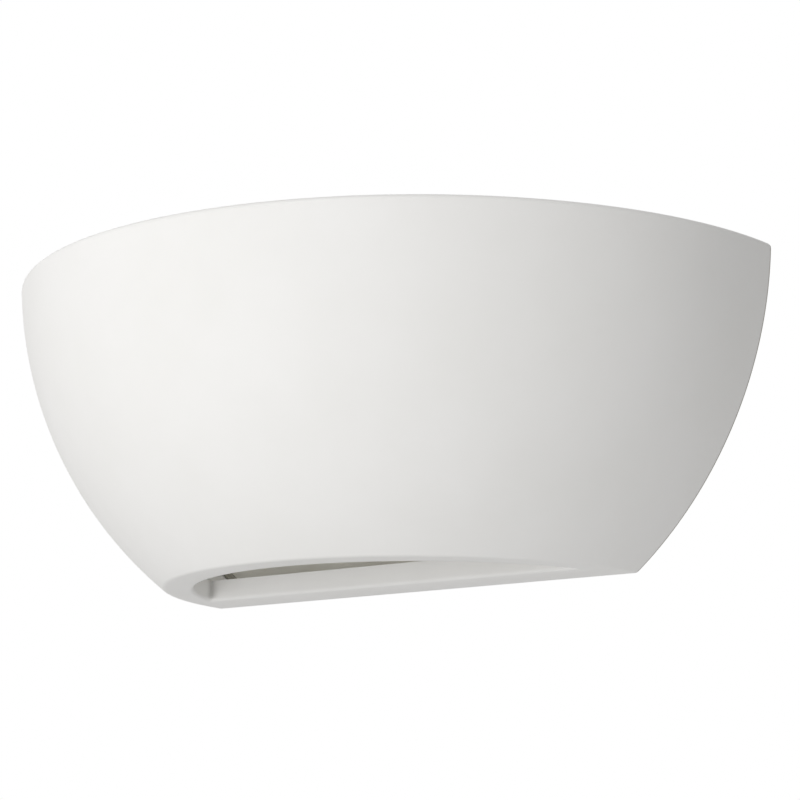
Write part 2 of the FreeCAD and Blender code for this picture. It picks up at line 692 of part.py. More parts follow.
def make_back_plate():
    """Pressed plate with a raised middle, slots for the wall and holes for what it carries."""
    body = new_body("back_plate")
    outline = new_sketch(body, "XZ_Plane")
    draw_plate(outline)
    extrude(body, "Pad", outline, "sheet_thick")
    thin = "(sqrt(2) - 1) * sheet_thick"
    levels = (("Additive", "sheet_thick", PANEL_FACE, "0"), ("Subtractive", "0", "panel_rise", thin))
    for kind, low, high, inset in levels:
        base = new_sketch(body, "XZ_Plane", ("0", "0", low))
        draw_rounded_box(
            base, "panel_half_length + panel_rise - " + inset,
            "panel_half_height + panel_rise - " + inset, "panel_corner + panel_rise - " + inset)
        face = new_sketch(body, "XZ_Plane", ("0", "0", high))
        draw_rounded_box(
            face, "panel_half_length - " + inset, "panel_half_height - " + inset,
            "panel_corner - " + inset)
        loft(body, kind, base, face)
    holes = new_sketch(body, "XZ_Plane")
    for sign in ("-", ""):
        draw_slot(holes, sign + "fixing_offset", "0", "fixing_slot_length",
                  "fixing_slot_radius")
        draw_circle(holes, sign + "stud_offset", "0", "stud_head_radius + thread_gap / 2")
        draw_circle(holes, RIVET_X, sign + "rivet_spacing / 2", "rivet_radius + thread_gap / 2")
        draw_circle(holes, "-block_offset", sign + "way_pitch / 2",
                    "block_screw_radius + thread_gap / 2")
    draw_circle(holes, "cable_hole_along", "0", "grommet_neck_radius")
    draw_circle(holes, "-earth_offset", "earth_height", "earth_shank_radius + thread_gap / 2")
    extrude(body, "Pocket", holes, PANEL_FACE, reverse=True)
    return keep("back_plate", body)


def make_cable_grommet():
    """Soft ring in the plate's cable hole."""
    back = "panel_rise - grommet_flange"
    front = PANEL_FACE + " + grommet_flange"
    corners = [
        ("cable_radius", back),
        ("grommet_flange_radius", back),
        ("grommet_flange_radius", "panel_rise"),
        ("grommet_neck_radius", "panel_rise"),
        ("grommet_neck_radius", PANEL_FACE),
        ("grommet_flange_radius", PANEL_FACE),
        ("grommet_flange_radius - grommet_flange / 2", front),
        ("cable_radius", front),
    ]
    keep("cable_grommet", turned_out("cable_grommet", "cable_hole_along", "0", corners))


# ---------------------------------------------------------------- lamp arm

def make_lamp_arm():
    """Folded strip: a foot riveted to the panel and an upright with a round end."""
    body = new_body("lamp_arm")
    outer_face = "-(holder_offset + arm_thick)"
    bend_outside = "bend_radius + arm_thick"
    section = new_sketch(body, "XY_Plane", ("0", "0", "-arm_half_width"))
    corners = [
        (outer_face + " + arm_foot", "-" + PANEL_FACE),
        (outer_face + " + " + bend_outside, "-" + PANEL_FACE),
        (outer_face, "-(%s + %s)" % (PANEL_FACE, bend_outside)),
        (outer_face, "-lamp_reach"),
        ("-holder_offset", "-lamp_reach"),
        ("-holder_offset", "-(%s + bend_radius)" % FOOT_FACE),
        ("-holder_offset + bend_radius", "-" + FOOT_FACE),
        (outer_face + " + arm_foot", "-" + FOOT_FACE),
    ]
    draw_outline(section, corners, {1: (bend_outside, 1), 5: ("bend_radius", -1)})
    extrude(body, "Pad", section, "2 * arm_half_width")
    end = new_sketch(body, "YZ_Plane", ("0", "0", outer_face))
    draw_circle(end, "-lamp_reach", "0", "arm_half_width")
    extrude(body, "Pad", end, "arm_thick")
    through = new_sketch(body, "YZ_Plane", ("0", "0", outer_face))
    draw_circle(through, "-lamp_reach", "0", "nipple_radius + hole_gap")
    draw_circle(through, "-wire_hole_reach", "0", "bush_neck_radius")
    extrude(body, "Pocket", through, "arm_thick", reverse=True)
    rivets = new_sketch(body, "XZ_Plane", ("0", "0", PANEL_FACE))
    for sign in ("-", ""):
        draw_circle(rivets, RIVET_X, sign + "rivet_spacing / 2", "rivet_radius + thread_gap / 2")
    drilled = extrude(body, "Pocket", rivets, "arm_thick", reverse=True)
    foot_end = size(outer_face + " + arm_foot")

    def foot_corner(edge):
        """Corner at the free end of the foot."""
        box = edge.BoundBox
        return box.XLength + box.ZLength < 1e-6 and abs(box.XMax - foot_end) < 1e-6

    round_edges(body, drilled, foot_corner, "bend_radius * 2")
    return keep("lamp_arm", body)


def make_arm_fittings():
    """Rivets of the foot and the bush in the wire hole."""
    rivets = []
    for number, sign in enumerate(("-", ""), start=1):
        rivets.append(turned_out("arm_rivet_%d" % number, RIVET_X, sign + "rivet_spacing / 2", [
            ("0", "panel_rise - rivet_head"),
            ("rivet_head_radius * 3 / 4", "panel_rise - rivet_head"),
            ("rivet_head_radius * 3 / 4", "panel_rise"),
            ("rivet_radius", "panel_rise"),
            ("rivet_radius", FOOT_FACE),
            ("rivet_head_radius", FOOT_FACE),
            ("rivet_head_radius * 2 / 3", FOOT_FACE + " + rivet_head"),
            ("0", FOOT_FACE + " + rivet_head"),
        ]))
    keep_group("arm_rivets", rivets)
    near = "-bush_flange"
    far = "arm_thick + bush_flange"
    bush = turned_along_x("wire_bush", "-(holder_offset + arm_thick)", "wire_hole_reach", "0", [
        (near, "bush_bore_radius"),
        (near, "bush_flange_radius"),
        ("0", "bush_flange_radius"),
        ("0", "bush_neck_radius"),
        ("arm_thick", "bush_neck_radius"),
        ("arm_thick", "bush_flange_radius"),
        (far, "bush_flange_radius"),
        (far, "bush_bore_radius"),
    ])
    keep("wire_bush", bush)


# ---------------------------------------------------------------- terminal block

WAY_HEIGHTS = ("-way_pitch", "0", "way_pitch")
CLAMP_PLACES = ("-block_offset - clamp_spacing / 2", "-block_offset + clamp_spacing / 2")


def make_terminal_block():
    """Moulded three-way block, with a tower for each way and its screws let in."""
    body = new_body("terminal_block")
    front = PANEL_FACE + " + block_depth"
    half_height = "(way_pitch + way_end)"
    plan = new_sketch(body, "XZ_Plane", ("0", "0", PANEL_FACE))
    corners = [
        ("-block_offset - block_length / 2", "-" + half_height),
        ("-block_offset + block_length / 2", "-" + half_height),
        ("-block_offset + block_length / 2", half_height),
        ("-block_offset - block_length / 2", half_height),
    ]
    draw_outline(plan, corners)
    extrude(body, "Pad", plan, "block_depth")
    ways = new_sketch(body, "YZ_Plane", ("0", "0", "-block_offset - block_length / 2"))
    for height in WAY_HEIGHTS:
        draw_circle(ways, "-" + TUBE_LEVEL, height, "tube_radius + thread_gap / 2")
    extrude(body, "Pocket", ways, "block_length", reverse=True)
    grooves = new_sketch(body, "YZ_Plane", ("0", "0", "-block_offset - block_length / 2"))
    for sign in ("-", ""):
        low = "%sway_pitch / 2 - way_gap / 2" % sign
        high = "%sway_pitch / 2 + way_gap / 2" % sign
        draw_outline(grooves, [
            ("-(%s)" % front, low),
            ("-(%s - block_head_sunk)" % front, low),
            ("-(%s - block_head_sunk)" % front, high),
            ("-(%s)" % front, high),
        ])
    extrude(body, "Pocket", grooves, "block_length", reverse=True)
    access = new_sketch(body, "XZ_Plane", ("0", "0", TUBE_LEVEL))
    for height in WAY_HEIGHTS:
        for along in CLAMP_PLACES:
            draw_circle(access, along, height, "clamp_access_radius")
    extrude(body, "Pocket", access, "block_depth", reverse=True)
    heads = new_sketch(body, "XZ_Plane", ("0", "0", front + " - block_head_sunk - block_head"))
    shanks = new_sketch(body, "XZ_Plane", ("0", "0", PANEL_FACE))
    for sign in ("-", ""):
        draw_circle(heads, "-block_offset", sign + "way_pitch / 2",
                    "block_head_radius + thread_gap")
        draw_circle(shanks, "-block_offset", sign + "way_pitch / 2",
                    "block_screw_radius + thread_gap")
    extrude(body, "Pocket", heads, "block_depth", reverse=True)
    extrude(body, "Pocket", shanks, "block_depth", reverse=True)
    return keep("terminal_block", body)


def make_terminal_metal():
    """Brass tubes, their clamping screws and the screws that hold the block."""
    tubes = []
    clamps = []
    clamp_tip = TUBE_LEVEL + " + wire_radius + thread_gap"
    for way, height in enumerate(WAY_HEIGHTS, start=1):
        tube = new_body("terminal_tube_%d" % way)
        end = new_sketch(tube, "YZ_Plane", ("0", "0", "-block_offset - tube_length / 2"))
        draw_circle(end, "-" + TUBE_LEVEL, height, "tube_radius")
        draw_circle(end, "-" + TUBE_LEVEL, height, "tube_bore_radius")
        extrude(tube, "Pad", end, "tube_length")
        threads = new_sketch(tube, "XZ_Plane", ("0", "0", TUBE_LEVEL))
        for along in CLAMP_PLACES:
            draw_circle(threads, along, height, "clamp_radius + thread_gap / 2")
        extrude(tube, "Pocket", threads, "tube_radius", reverse=True)
        tubes.append(tube)
        for number, along in enumerate(CLAMP_PLACES, start=1):
            clamps.append(turned_out("clamp_%d_%d" % (way, number), along, height, [
                ("0", clamp_tip),
                ("clamp_radius", clamp_tip),
                ("clamp_radius", clamp_tip + " + clamp_length"),
                ("0", clamp_tip + " + clamp_length"),
            ]))
    keep_group("terminal_tubes", tubes)
    keep_group("terminal_screws", clamps)
    head_top = PANEL_FACE + " + block_depth - block_head_sunk"
    holders = []
    for number, sign in enumerate(("-", ""), start=1):
        holders.append(turned_out(
            "block_screw_%d" % number, "-block_offset", sign + "way_pitch / 2", [
                ("0", "sheet_thick"),
                ("block_screw_radius", "sheet_thick"),
                ("block_screw_radius", head_top + " - block_head"),
                ("block_head_radius", head_top + " - block_head"),
                ("block_head_radius", head_top),
                ("0", head_top),
            ]))
    keep_group("block_screws", holders)


# ---------------------------------------------------------------- earth point

def hexagon(sketch, across, up, flats):
    """Hexagon with two flats level, given by its size across flats."""
    reach = "(%s) / sqrt(3)" % flats
    corners = []
    for step in range(6):
        angle = math.radians(60 * step)
        corners.append(("%s + (%s) * %.9f" % (across, reach, math.cos(angle)),
                        "%s + (%s) * %.9f" % (up, reach, math.sin(angle))))
    draw_outline(sketch, corners)


def make_earth_point():
    """Earth screw with its nut, toothed washer and the ring tag of the wire."""
    tag_face = PANEL_FACE + " + tag_thick"
    head_seat = tag_face + " + earth_washer_thick"
    screw = turned_out("earth_screw", "-earth_offset", "earth_height", [
        ("0", "panel_rise - earth_nut_length - earth_shank_radius / 2"),
        ("earth_shank_radius", "panel_rise - earth_nut_length - earth_shank_radius / 2"),
        ("earth_shank_radius", head_seat),
        ("earth_head_radius", head_seat),
        ("earth_head_radius", head_seat + " + earth_head * 2 / 3"),
        ("earth_head_radius * 3 / 4", head_seat + " + earth_head"),
        ("0", head_seat + " + earth_head"),
    ])
    keep("earth_screw", screw)
    washer = turned_out(
        "earth_washer", "-earth_offset", "earth_height",
        ring("earth_shank_radius + thread_gap", "earth_head_radius", tag_face, head_seat))
    keep("earth_washer", washer)
    nut = new_body("earth_nut")
    flats = new_sketch(nut, "XZ_Plane", ("0", "0", "panel_rise - earth_nut_length"))
    hexagon(flats, "-earth_offset", "earth_height", "earth_nut_flats")
    draw_circle(flats, "-earth_offset", "earth_height", "earth_shank_radius + thread_gap / 2")
    extrude(nut, "Pad", flats, "earth_nut_length")
    keep("earth_nut", nut)
    tag = new_body("earth_tag")
    ring_plan = new_sketch(tag, "XZ_Plane", ("0", "0", PANEL_FACE))
    draw_circle(ring_plan, "-earth_offset", "earth_height", "tag_radius")
    extrude(tag, "Pad", ring_plan, "tag_thick")
    neck = new_sketch(tag, "XZ_Plane", ("0", "0", PANEL_FACE))
    draw_outline(neck, [
        ("-earth_offset", "earth_height - tag_neck_half"),
        ("-earth_offset + barrel_start + tag_thick", "earth_height - tag_neck_half"),
        ("-earth_offset + barrel_start + tag_thick", "earth_height + tag_neck_half"),
        ("-earth_offset", "earth_height + tag_neck_half"),
    ])
    extrude(tag, "Pad", neck, "tag_thick")
    eye = new_sketch(tag, "XZ_Plane", ("0", "0", PANEL_FACE))
    draw_circle(eye, "-earth_offset", "earth_height", "earth_shank_radius + thread_gap")
    extrude(tag, "Pocket", eye, "tag_thick", reverse=True)
    barrel = new_sketch(tag, "YZ_Plane", ("0", "0", "-earth_offset + barrel_start"))
    draw_circle(barrel, "-" + BARREL_LEVEL, "earth_height", "barrel_radius")
    extrude(tag, "Pad", barrel, "barrel_length")
    keep("earth_tag", tag)


# ---------------------------------------------------------------- wires

def tangent_arc_path(points):
    """Wire of straight runs joined by tangent arcs, with the arcs' radii."""
    edges = []
    radii = []
    start = points[0]
    for before, corner, after in zip(points, points[1:], points[2:]):
        back = before - corner
        ahead = after - corner
        trim = 0.45 * min(back.Length, ahead.Length)
        turn = math.pi - back.getAngle(ahead)
        radii.append(trim / math.tan(turn / 2))
        enter = corner + back.normalize() * trim
        leave = corner + ahead.normalize() * trim
        towards_centre = (enter + leave) * 0.5 - corner
        to_centre = math.hypot(trim, radii[-1])
        middle = corner + towards_centre.normalize() * (to_centre - radii[-1])
        edges.append(Part.LineSegment(start, enter).toShape())
        edges.append(Part.Arc(enter, middle, leave).toShape())
        start = leave
    edges.append(Part.LineSegment(start, points[-1]).toShape())
    return Part.Wire(edges), radii


def make_wire(name, route):
    """Insulated wire along a route of corners given as (x, level out, z) formulas."""
    points = [Vector(size(x), -size(out), size(z)) for x, out, z in route]
    path, radii = tangent_arc_path(points)
    radius = size("wire_radius")
    section = Part.Wire(Part.makeCircle(radius, points[0], points[1] - points[0]))
    shape = path.makePipeShell([section], True, False)
    expected = math.pi * radius ** 2 * path.Length
    print("%s: length %.1f, radii %s, volume share %.4f" % (
        name, path.Length, ", ".join("%.1f" % r for r in radii), shape.Volume / expected))
    wire = doc.addObject("Part::Feature", name)
    wire.Shape = shape
    return keep(name, wire)


def make_wires():
    """Lamp wires from the block through the arm into the nipple, and the earth wire."""
    block_side = "-block_offset - block_length / 2"
    in_tube = "-block_offset - tube_length / 2 + wire_grip"
    bush_side = "wire_radius + wire_pair_gap / 2"
    nipple_side = "nipple_bore_radius - wire_radius - hole_gap"
    bush_front = "-(holder_offset - 14)"
    loop = "-(holder_offset + 24)"
    terminal_back = "-holder_offset + insert_back - terminal_length"
    for name, height, sign in (("live_wire", "0", ""), ("neutral_wire", "-way_pitch", "-")):
        make_wire(name, [
            (in_tube, TUBE_LEVEL, height),
            (block_side + " - 10", TUBE_LEVEL, height),
            (bush_front, "wire_hole_reach", "%s(%s)" % (sign, bush_side)),
            (loop, "wire_hole_reach", "%s(%s)" % (sign, bush_side)),
            (loop, "lamp_reach", "%s(%s)" % (sign, nipple_side)),
            (terminal_back, "lamp_reach", "%s(%s)" % (sign, nipple_side)),
        ])
    tag_end = "-earth_offset + barrel_start + barrel_length"
    make_wire("earth_wire", [
        (in_tube, TUBE_LEVEL, "way_pitch"),
        (block_side + " - 4", TUBE_LEVEL, "way_pitch"),
        (tag_end + " + 8", BARREL_LEVEL, "earth_height"),
        (tag_end, BARREL_LEVEL, "earth_height"),
    ])


# ---------------------------------------------------------------- lampholder

def make_holder_fixings():
    """Nipple through the arm, with its toothed washer and locknut."""
    keep("holder_nipple", on_lamp_axis("holder_nipple", sleeve(
        "-nipple_behind", "nipple_ahead", "nipple_bore_radius", "nipple_radius")))
    washer_back = "-arm_thick - lock_washer_thick"
    keep("lock_washer", on_lamp_axis("lock_washer", sleeve(
        washer_back, "-arm_thick", "nipple_radius + hole_gap", "lock_washer_radius")))
    nut = new_body("locknut")
    nut_back = "-holder_offset - arm_thick - lock_washer_thick - locknut_length"
    flats = new_sketch(nut, "YZ_Plane", ("0", "0", nut_back))
    hexagon(flats, "-lamp_reach", "0", "locknut_flats")
    draw_circle(flats, "-lamp_reach", "0", "nipple_radius + thread_gap / 2")
    extrude(nut, "Pad", flats, "locknut_length")
    keep("locknut", nut)


def make_holder_dome():
    """Moulded dome: a boss that swells to the holder's full radius."""
    bore = "nipple_radius + hole_gap"
    shoulder = "dome_length - dome_lip"
    arc_axis = "(holder_radius - dome_round)"
    boss_end = "%s - sqrt(dome_round^2 - (holder_boss_radius - %s)^2)" % (shoulder, arc_axis)
    inner_radius = "(dome_round - holder_wall)"
    corners = [
        ("0", bore),
        ("0", "holder_boss_radius"),
        (boss_end, "holder_boss_radius"),
        (shoulder, "holder_radius"),
        ("dome_length", "holder_radius"),
        ("dome_length", "holder_radius - holder_wall"),
        (shoulder, "holder_radius - holder_wall"),
        ("%s - %s" % (shoulder, inner_radius), arc_axis),
        ("%s - %s" % (shoulder, inner_radius), bore),
    ]
    arcs = {2: ("dome_round", 1), 6: (inner_radius, -1)}
    keep("holder_dome", on_lamp_axis("holder_dome", corners, arcs))


def make_holder_insert():
    """Insert with a rib between its terminals, the terminals and their screws."""
    insert = new_body("holder_insert")
    disc = new_sketch(insert, "XZ_Plane", ("-holder_offset", "0", "lamp_reach"))
    draw_outline(disc, [
        ("insert_back", "0"), ("insert_back", "insert_radius"),
        (INSERT_FACE, "insert_radius"), (INSERT_FACE, "0")])
    revolve(insert, disc, "H_Axis")
    rib = new_sketch(insert, "XZ_Plane", ("-holder_offset", "0", "lamp_reach - terminal_half_width"))
    draw_outline(rib, [
        ("insert_back - terminal_length", "-barrier_half"), ("insert_back", "-barrier_half"),
        ("insert_back", "barrier_half"), ("insert_back - terminal_length", "barrier_half")])
    extrude(insert, "Pad", rib, "2 * terminal_half_width")
    keep("holder_insert", insert)
    blocks = []
    screws = []
    for number, sign in enumerate(("-", ""), start=1):
        block = new_body("holder_terminal_%d" % number)
        side = new_sketch(block, "XZ_Plane",
                          ("-holder_offset", "0", "lamp_reach - terminal_half_width"))
        near = sign + "terminal_gap"
        far = "%s(terminal_gap + terminal_height)" % sign
        draw_outline(side, [
            ("insert_back - terminal_length", near), ("insert_back", near),
            ("insert_back", far), ("insert_back - terminal_length", far)])
        extrude(block, "Pad", side, "2 * terminal_half_width")
        blocks.append(block)
        screw = new_body("holder_terminal_screw_%d" % number)
        face = new_sketch(screw, "XZ_Plane",
                          ("-holder_offset", "0", "lamp_reach + terminal_half_width"))
        draw_circle(face, "insert_back - terminal_length / 2",
                    "%s(terminal_gap + terminal_height / 2)" % sign, "terminal_screw_radius")
        extrude(screw, "Pad", face, "terminal_screw_length")
        screws.append(screw)
    keep_group("holder_terminals", blocks)
    keep_group("holder_terminal_screws", screws)


def make_holder_front():
    """Skirt, screw shell and sprung centre contact."""
    skirt_end = "dome_length + skirt_length"
    skirt = on_lamp_axis("holder_skirt", [
        ("dome_length", "insert_radius + holder_wall / 4"),
        ("dome_length", "holder_radius"),
        (skirt_end + " - holder_wall / 2", "skirt_end_radius"),
        (skirt_end, "skirt_end_radius - holder_wall / 2"),
        (skirt_end, "skirt_bore_radius"),
        (INSERT_FACE, "skirt_bore_radius"),
        (INSERT_FACE, "insert_radius + holder_wall / 4"),
    ])
    keep("holder_skirt", skirt)
    shell = on_lamp_axis("screw_shell", [
        (INSERT_FACE, "shell_eye_radius"),
        (INSERT_FACE, "shell_radius"),
        (INSERT_FACE + " + shell_length", "shell_radius"),
        (INSERT_FACE + " + shell_length", "shell_radius - shell_wall"),
        (INSERT_FACE + " + shell_wall", "shell_radius - shell_wall"),
        (INSERT_FACE + " + shell_wall", "shell_eye_radius"),
    ])
    keep("screw_shell", shell)
    leaf = new_body("centre_contact")
    profile = new_sketch(leaf, "XZ_Plane",
                         ("-holder_offset", "0", "lamp_reach - leaf_half_width"))
    foot = "(shell_eye_radius - 1)"
    draw_outline(profile, [
        (INSERT_FACE, "-" + foot),
        (INSERT_FACE + " + leaf_thick", "-" + foot),
        (INSERT_FACE + " + leaf_thick", "-%s / 2" % foot),
        (LEAF_TOP, "-leaf_half_width / 2"),
        (LEAF_TOP, "leaf_half_width"),
        (LEAF_TOP + " - leaf_thick", "leaf_half_width"),
        (LEAF_TOP + " - leaf_thick", "-leaf_half_width / 4"),
        (INSERT_FACE, "-%s / 2 + leaf_thick" % foot),
    ])
    extrude(leaf, "Pad", profile, "2 * leaf_half_width")
    keep("centre_contact", leaf)


# ---------------------------------------------------------------- lamp

def make_lamp_cap():
    """Contact, glass insulator and screw cap."""
    keep("lamp_tip", on_lamp_axis("lamp_tip", [
        (TIP_START, "0"),
        (TIP_START, "tip_radius / 2"),
        (TIP_START + " + tip_length / 2", "tip_radius"),
        (GLASS_START, "tip_radius"),
        (GLASS_START, "0"),
    ]))
    keep("lamp_insulator", on_lamp_axis("lamp_insulator", [
        (GLASS_START, "0"),
        (GLASS_START, "tip_radius + holder_wall / 2"),
        (CAP_START, "insulator_radius"),
        (CAP_START, "0"),
    ]))
    keep("lamp_cap", on_lamp_axis("lamp_cap", [
        (CAP_START, "insulator_radius - 1"),
        (CAP_START, "insulator_radius"),
        (CAP_START + " + cap_radius - insulator_radius", "cap_radius"),
        (CAP_END, "cap_radius"),
        (CAP_END, "cap_radius - cap_wall"),
        (CAP_START + " + cap_radius - insulator_radius + cap_wall", "cap_radius - cap_wall"),
        (CAP_START + " + cap_wall", "insulator_radius - 1"),
    ]))


def make_lamp_body():
    """Flared collar, both circuit boards with the chips, and the globe."""
    flare_radius = "(collar_flare^2 + (collar_radius - collar_start_radius)^2)" \
        " / (2 * (collar_radius - collar_start_radius)) + collar_flare"
    neck = "cap_radius - cap_wall - thread_gap"
    hollow = neck + " - collar_wall"
    board_seat = FLARE_END
    ledge = "board_radius - ledge_width"
    collar = on_lamp_axis("lamp_collar", [
        (CAP_END + " - collar_neck", hollow),
        (CAP_END + " - collar_neck", neck),
        (CAP_END, neck),
        (CAP_END, "collar_start_radius"),
        (FLARE_END, "collar_radius"),
        (COLLAR_END, "collar_radius"),
        (COLLAR_END, "globe_neck_radius + thread_gap / 2"),
        (board_seat, "globe_neck_radius + thread_gap / 2"),
        (board_seat, ledge),
        (board_seat + " - collar_wall", ledge),
        (board_seat + " - collar_wall", "collar_radius - 2 * collar_wall"),
        (CAP_END + " + collar_wall", hollow),
    ], {3: (flare_radius, 1)})
    keep("lamp_collar", collar)
    driver = new_body("driver_board")
    plan = new_sketch(driver, "XZ_Plane",
                      ("-holder_offset", "0", "lamp_reach - board_thick / 2"))
    draw_outline(plan, [
        (FLARE_END + " - driver_length", "-driver_half_width"), (FLARE_END, "-driver_half_width"),
        (FLARE_END, "driver_half_width"), (FLARE_END + " - driver_length", "driver_half_width")])
    extrude(driver, "Pad", plan, "board_thick")
    keep("driver_board", driver)
    keep("led_board", on_lamp_axis("led_board", [
        (FLARE_END, "0"), (FLARE_END, "board_radius"),
        (BOARD_FACE, "board_radius"), (BOARD_FACE, "0")]))
    chips = []
    for number in range(CHIP_COUNT):
        angle = 2 * math.pi * number / CHIP_COUNT
        across = "-lamp_reach + chip_ring_radius * %.9f" % math.cos(angle)
        up = "chip_ring_radius * %.9f" % math.sin(angle)
        chip = new_body("led_chip_%d" % (number + 1))
        square = new_sketch(chip, "YZ_Plane", ("0", "0", "-holder_offset + " + BOARD_FACE))
        half = "chip_side / 2"
        draw_outline(square, [
            ("%s - %s" % (across, half), "%s - %s" % (up, half)),
            ("%s + %s" % (across, half), "%s - %s" % (up, half)),
            ("%s + %s" % (across, half), "%s + %s" % (up, half)),
            ("%s - %s" % (across, half), "%s + %s" % (up, half))])
        extrude(chip, "Pad", square, "chip_height")
        chips.append(chip)
    keep_group("led_chips", chips)
    inner_neck_end = "%s - sqrt(%s^2 - %s^2)" % (GLOBE_CENTRE, GLOBE_INNER, NECK_INNER)
    globe = on_lamp_axis("lamp_globe", [
        (BOARD_FACE, NECK_INNER),
        (BOARD_FACE, "globe_neck_radius"),
        (BOARD_FACE + " + globe_neck", "globe_neck_radius"),
        (GLOBE_CENTRE, "globe_radius"),
        (GLOBE_CENTRE + " + globe_radius", "0"),
        (GLOBE_CENTRE + " + " + GLOBE_INNER, "0"),
        (GLOBE_CENTRE, GLOBE_INNER),
        (inner_neck_end, NECK_INNER),
    ], {2: ("globe_radius", 1), 3: ("globe_radius", 1), 5: (GLOBE_INNER, -1), 6: (GLOBE_INNER, -1)})
    keep("lamp_globe", globe)


# ---------------------------------------------------------------- build, test and write

def check_document():
    """Stop if any object failed or any node's shape is missing or invalid."""
    failed = [o.Name for o in doc.Objects if "Invalid" in o.State or "Error" in o.State]
    for node in nodes:
        if node.Shape.isNull() or not node.Shape.isValid() or not node.Shape.Solids:
            failed.append(node.Label)
    if failed:
        raise RuntimeError("failed: " + ", ".join(failed))


def write_nodes():
    """Write one STEP file for each node."""
    os.makedirs("parts", exist_ok=True)
    for node in nodes:
        node.Shape.exportStep(os.path.join("parts", node.Label + ".step"))


fill_sheet()
make_plaster_bowl()
make_hangers()
make_back_plate()
make_cable_grommet()
make_lamp_arm()
make_arm_fittings()
make_terminal_block()
make_terminal_metal()
make_earth_point()
make_wires()
make_holder_fixings()
make_holder_dome()
make_holder_insert()
make_holder_front()
make_lamp_cap()
make_lamp_body()
doc.recompute()
check_document()
write_nodes()
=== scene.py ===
import logging
import math
from collections.abc import Callable, Iterator
from contextlib import contextmanager
from dataclasses import dataclass
from enum import Enum

import bpy
from mathutils import Matrix, Vector


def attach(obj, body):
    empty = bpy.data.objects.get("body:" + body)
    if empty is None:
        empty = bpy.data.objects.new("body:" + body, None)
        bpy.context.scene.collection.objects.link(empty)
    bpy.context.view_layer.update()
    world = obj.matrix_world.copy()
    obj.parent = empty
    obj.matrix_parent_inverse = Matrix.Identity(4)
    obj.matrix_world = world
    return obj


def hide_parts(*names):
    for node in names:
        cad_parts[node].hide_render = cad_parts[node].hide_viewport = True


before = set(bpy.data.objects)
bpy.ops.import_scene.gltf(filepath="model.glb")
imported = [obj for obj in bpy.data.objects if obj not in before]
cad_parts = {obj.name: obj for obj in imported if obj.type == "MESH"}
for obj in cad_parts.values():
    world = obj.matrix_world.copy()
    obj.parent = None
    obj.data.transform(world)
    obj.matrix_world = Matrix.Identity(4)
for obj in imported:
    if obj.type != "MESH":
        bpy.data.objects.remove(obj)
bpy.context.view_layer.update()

# A plaster wall uplighter: a matt white half bowl over a screw lampholder on a pressed steel plate.
# Sizes in the classes are millimetres in the frame of the CAD model: the wall is y = 0, the light
# stands out towards -Y, +Z is up. "Out" is the distance from the wall.

Place = tuple[float, float, float]
Pair = tuple[float, float]
Piece = bpy.types.Object
Tree = bpy.types.NodeTree
Socket = bpy.types.NodeSocket
Test = Callable[[Vector, Vector], bool]

MM = 0.001
SAME_POINT = 1e-6  # metres within which two points of a new mesh are one
CUT_SLIVER = 1e-5  # metres below which an edge left by a cut is dropped
OVERCUT = 1.0  # millimetres that a cutting tool stands past the surface it cuts
SLACK = 0.01  # millimetres allowed where edges are picked by place
WAVE_RATE = 10.0  # radians that a wave pattern runs through in one unit of length
LAMP_SEAT: Place = (-70.0, -58.0, 0.0)  # where the lampholder's axis meets its arm
LAMP_PITCH = 3.62  # travel of the lamp in one turn of its screw thread
LAMP_STEPS = 48  # faces in one turn of that thread
log = logging.getLogger("uplighter")


# ---------------------------------------------------------------- materials

def linear(code: str) -> tuple[float, float, float, float]:
    """Turn an sRGB hex colour into linear light.

    Args:
        code: the colour as "#RRGGBB".

    Returns:
        Red, green, blue and an alpha of 1.
    """
    parts = [int(code[i:i + 2], 16) / 255 for i in (1, 3, 5)]
    levels = [v / 12.92 if v <= 0.04045 else ((v + 0.055) / 1.055) ** 2.4 for v in parts]
    return (levels[0], levels[1], levels[2], 1.0)


def add_node(tree: Tree, kind: str, settings: dict | None = None,
             links: dict | None = None) -> bpy.types.Node:
    """Add one shader node.

    Args:
        tree: the material's or world's node tree.
        kind: the node's type name.
        settings: attribute or input name (or input number) to its value.
        links: input name or number to the socket that feeds it.

    Returns:
        The new node.
    """
    node = tree.nodes.new(kind)
    for key, value in (settings or {}).items():
        if isinstance(key, str) and hasattr(node, key):
            setattr(node, key, value)
        else:
            node.inputs[key].default_value = value
    for key, socket in (links or {}).items():
        tree.links.new(socket, node.inputs[key])
    return node


def per_mm(size: float) -> float:
    """Scale of a pattern on Object coordinates whose features are size millimetres apart."""
    return 1.0 / (size * MM)


class Grain(Enum):
    """Which way a metal's working marks run."""

    NONE = (1.0, 1.0, 1.0)
    ALONG = (0.06, 1.0, 1.0)
    OUT = (1.0, 0.06, 1.0)


@dataclass(frozen=True)
class Canvas:
    """What a finish is painted with: its tree, Object coordinates, wear and fine noise."""

    tree: Tree
    place: Socket
    share: Socket
    fine: Socket


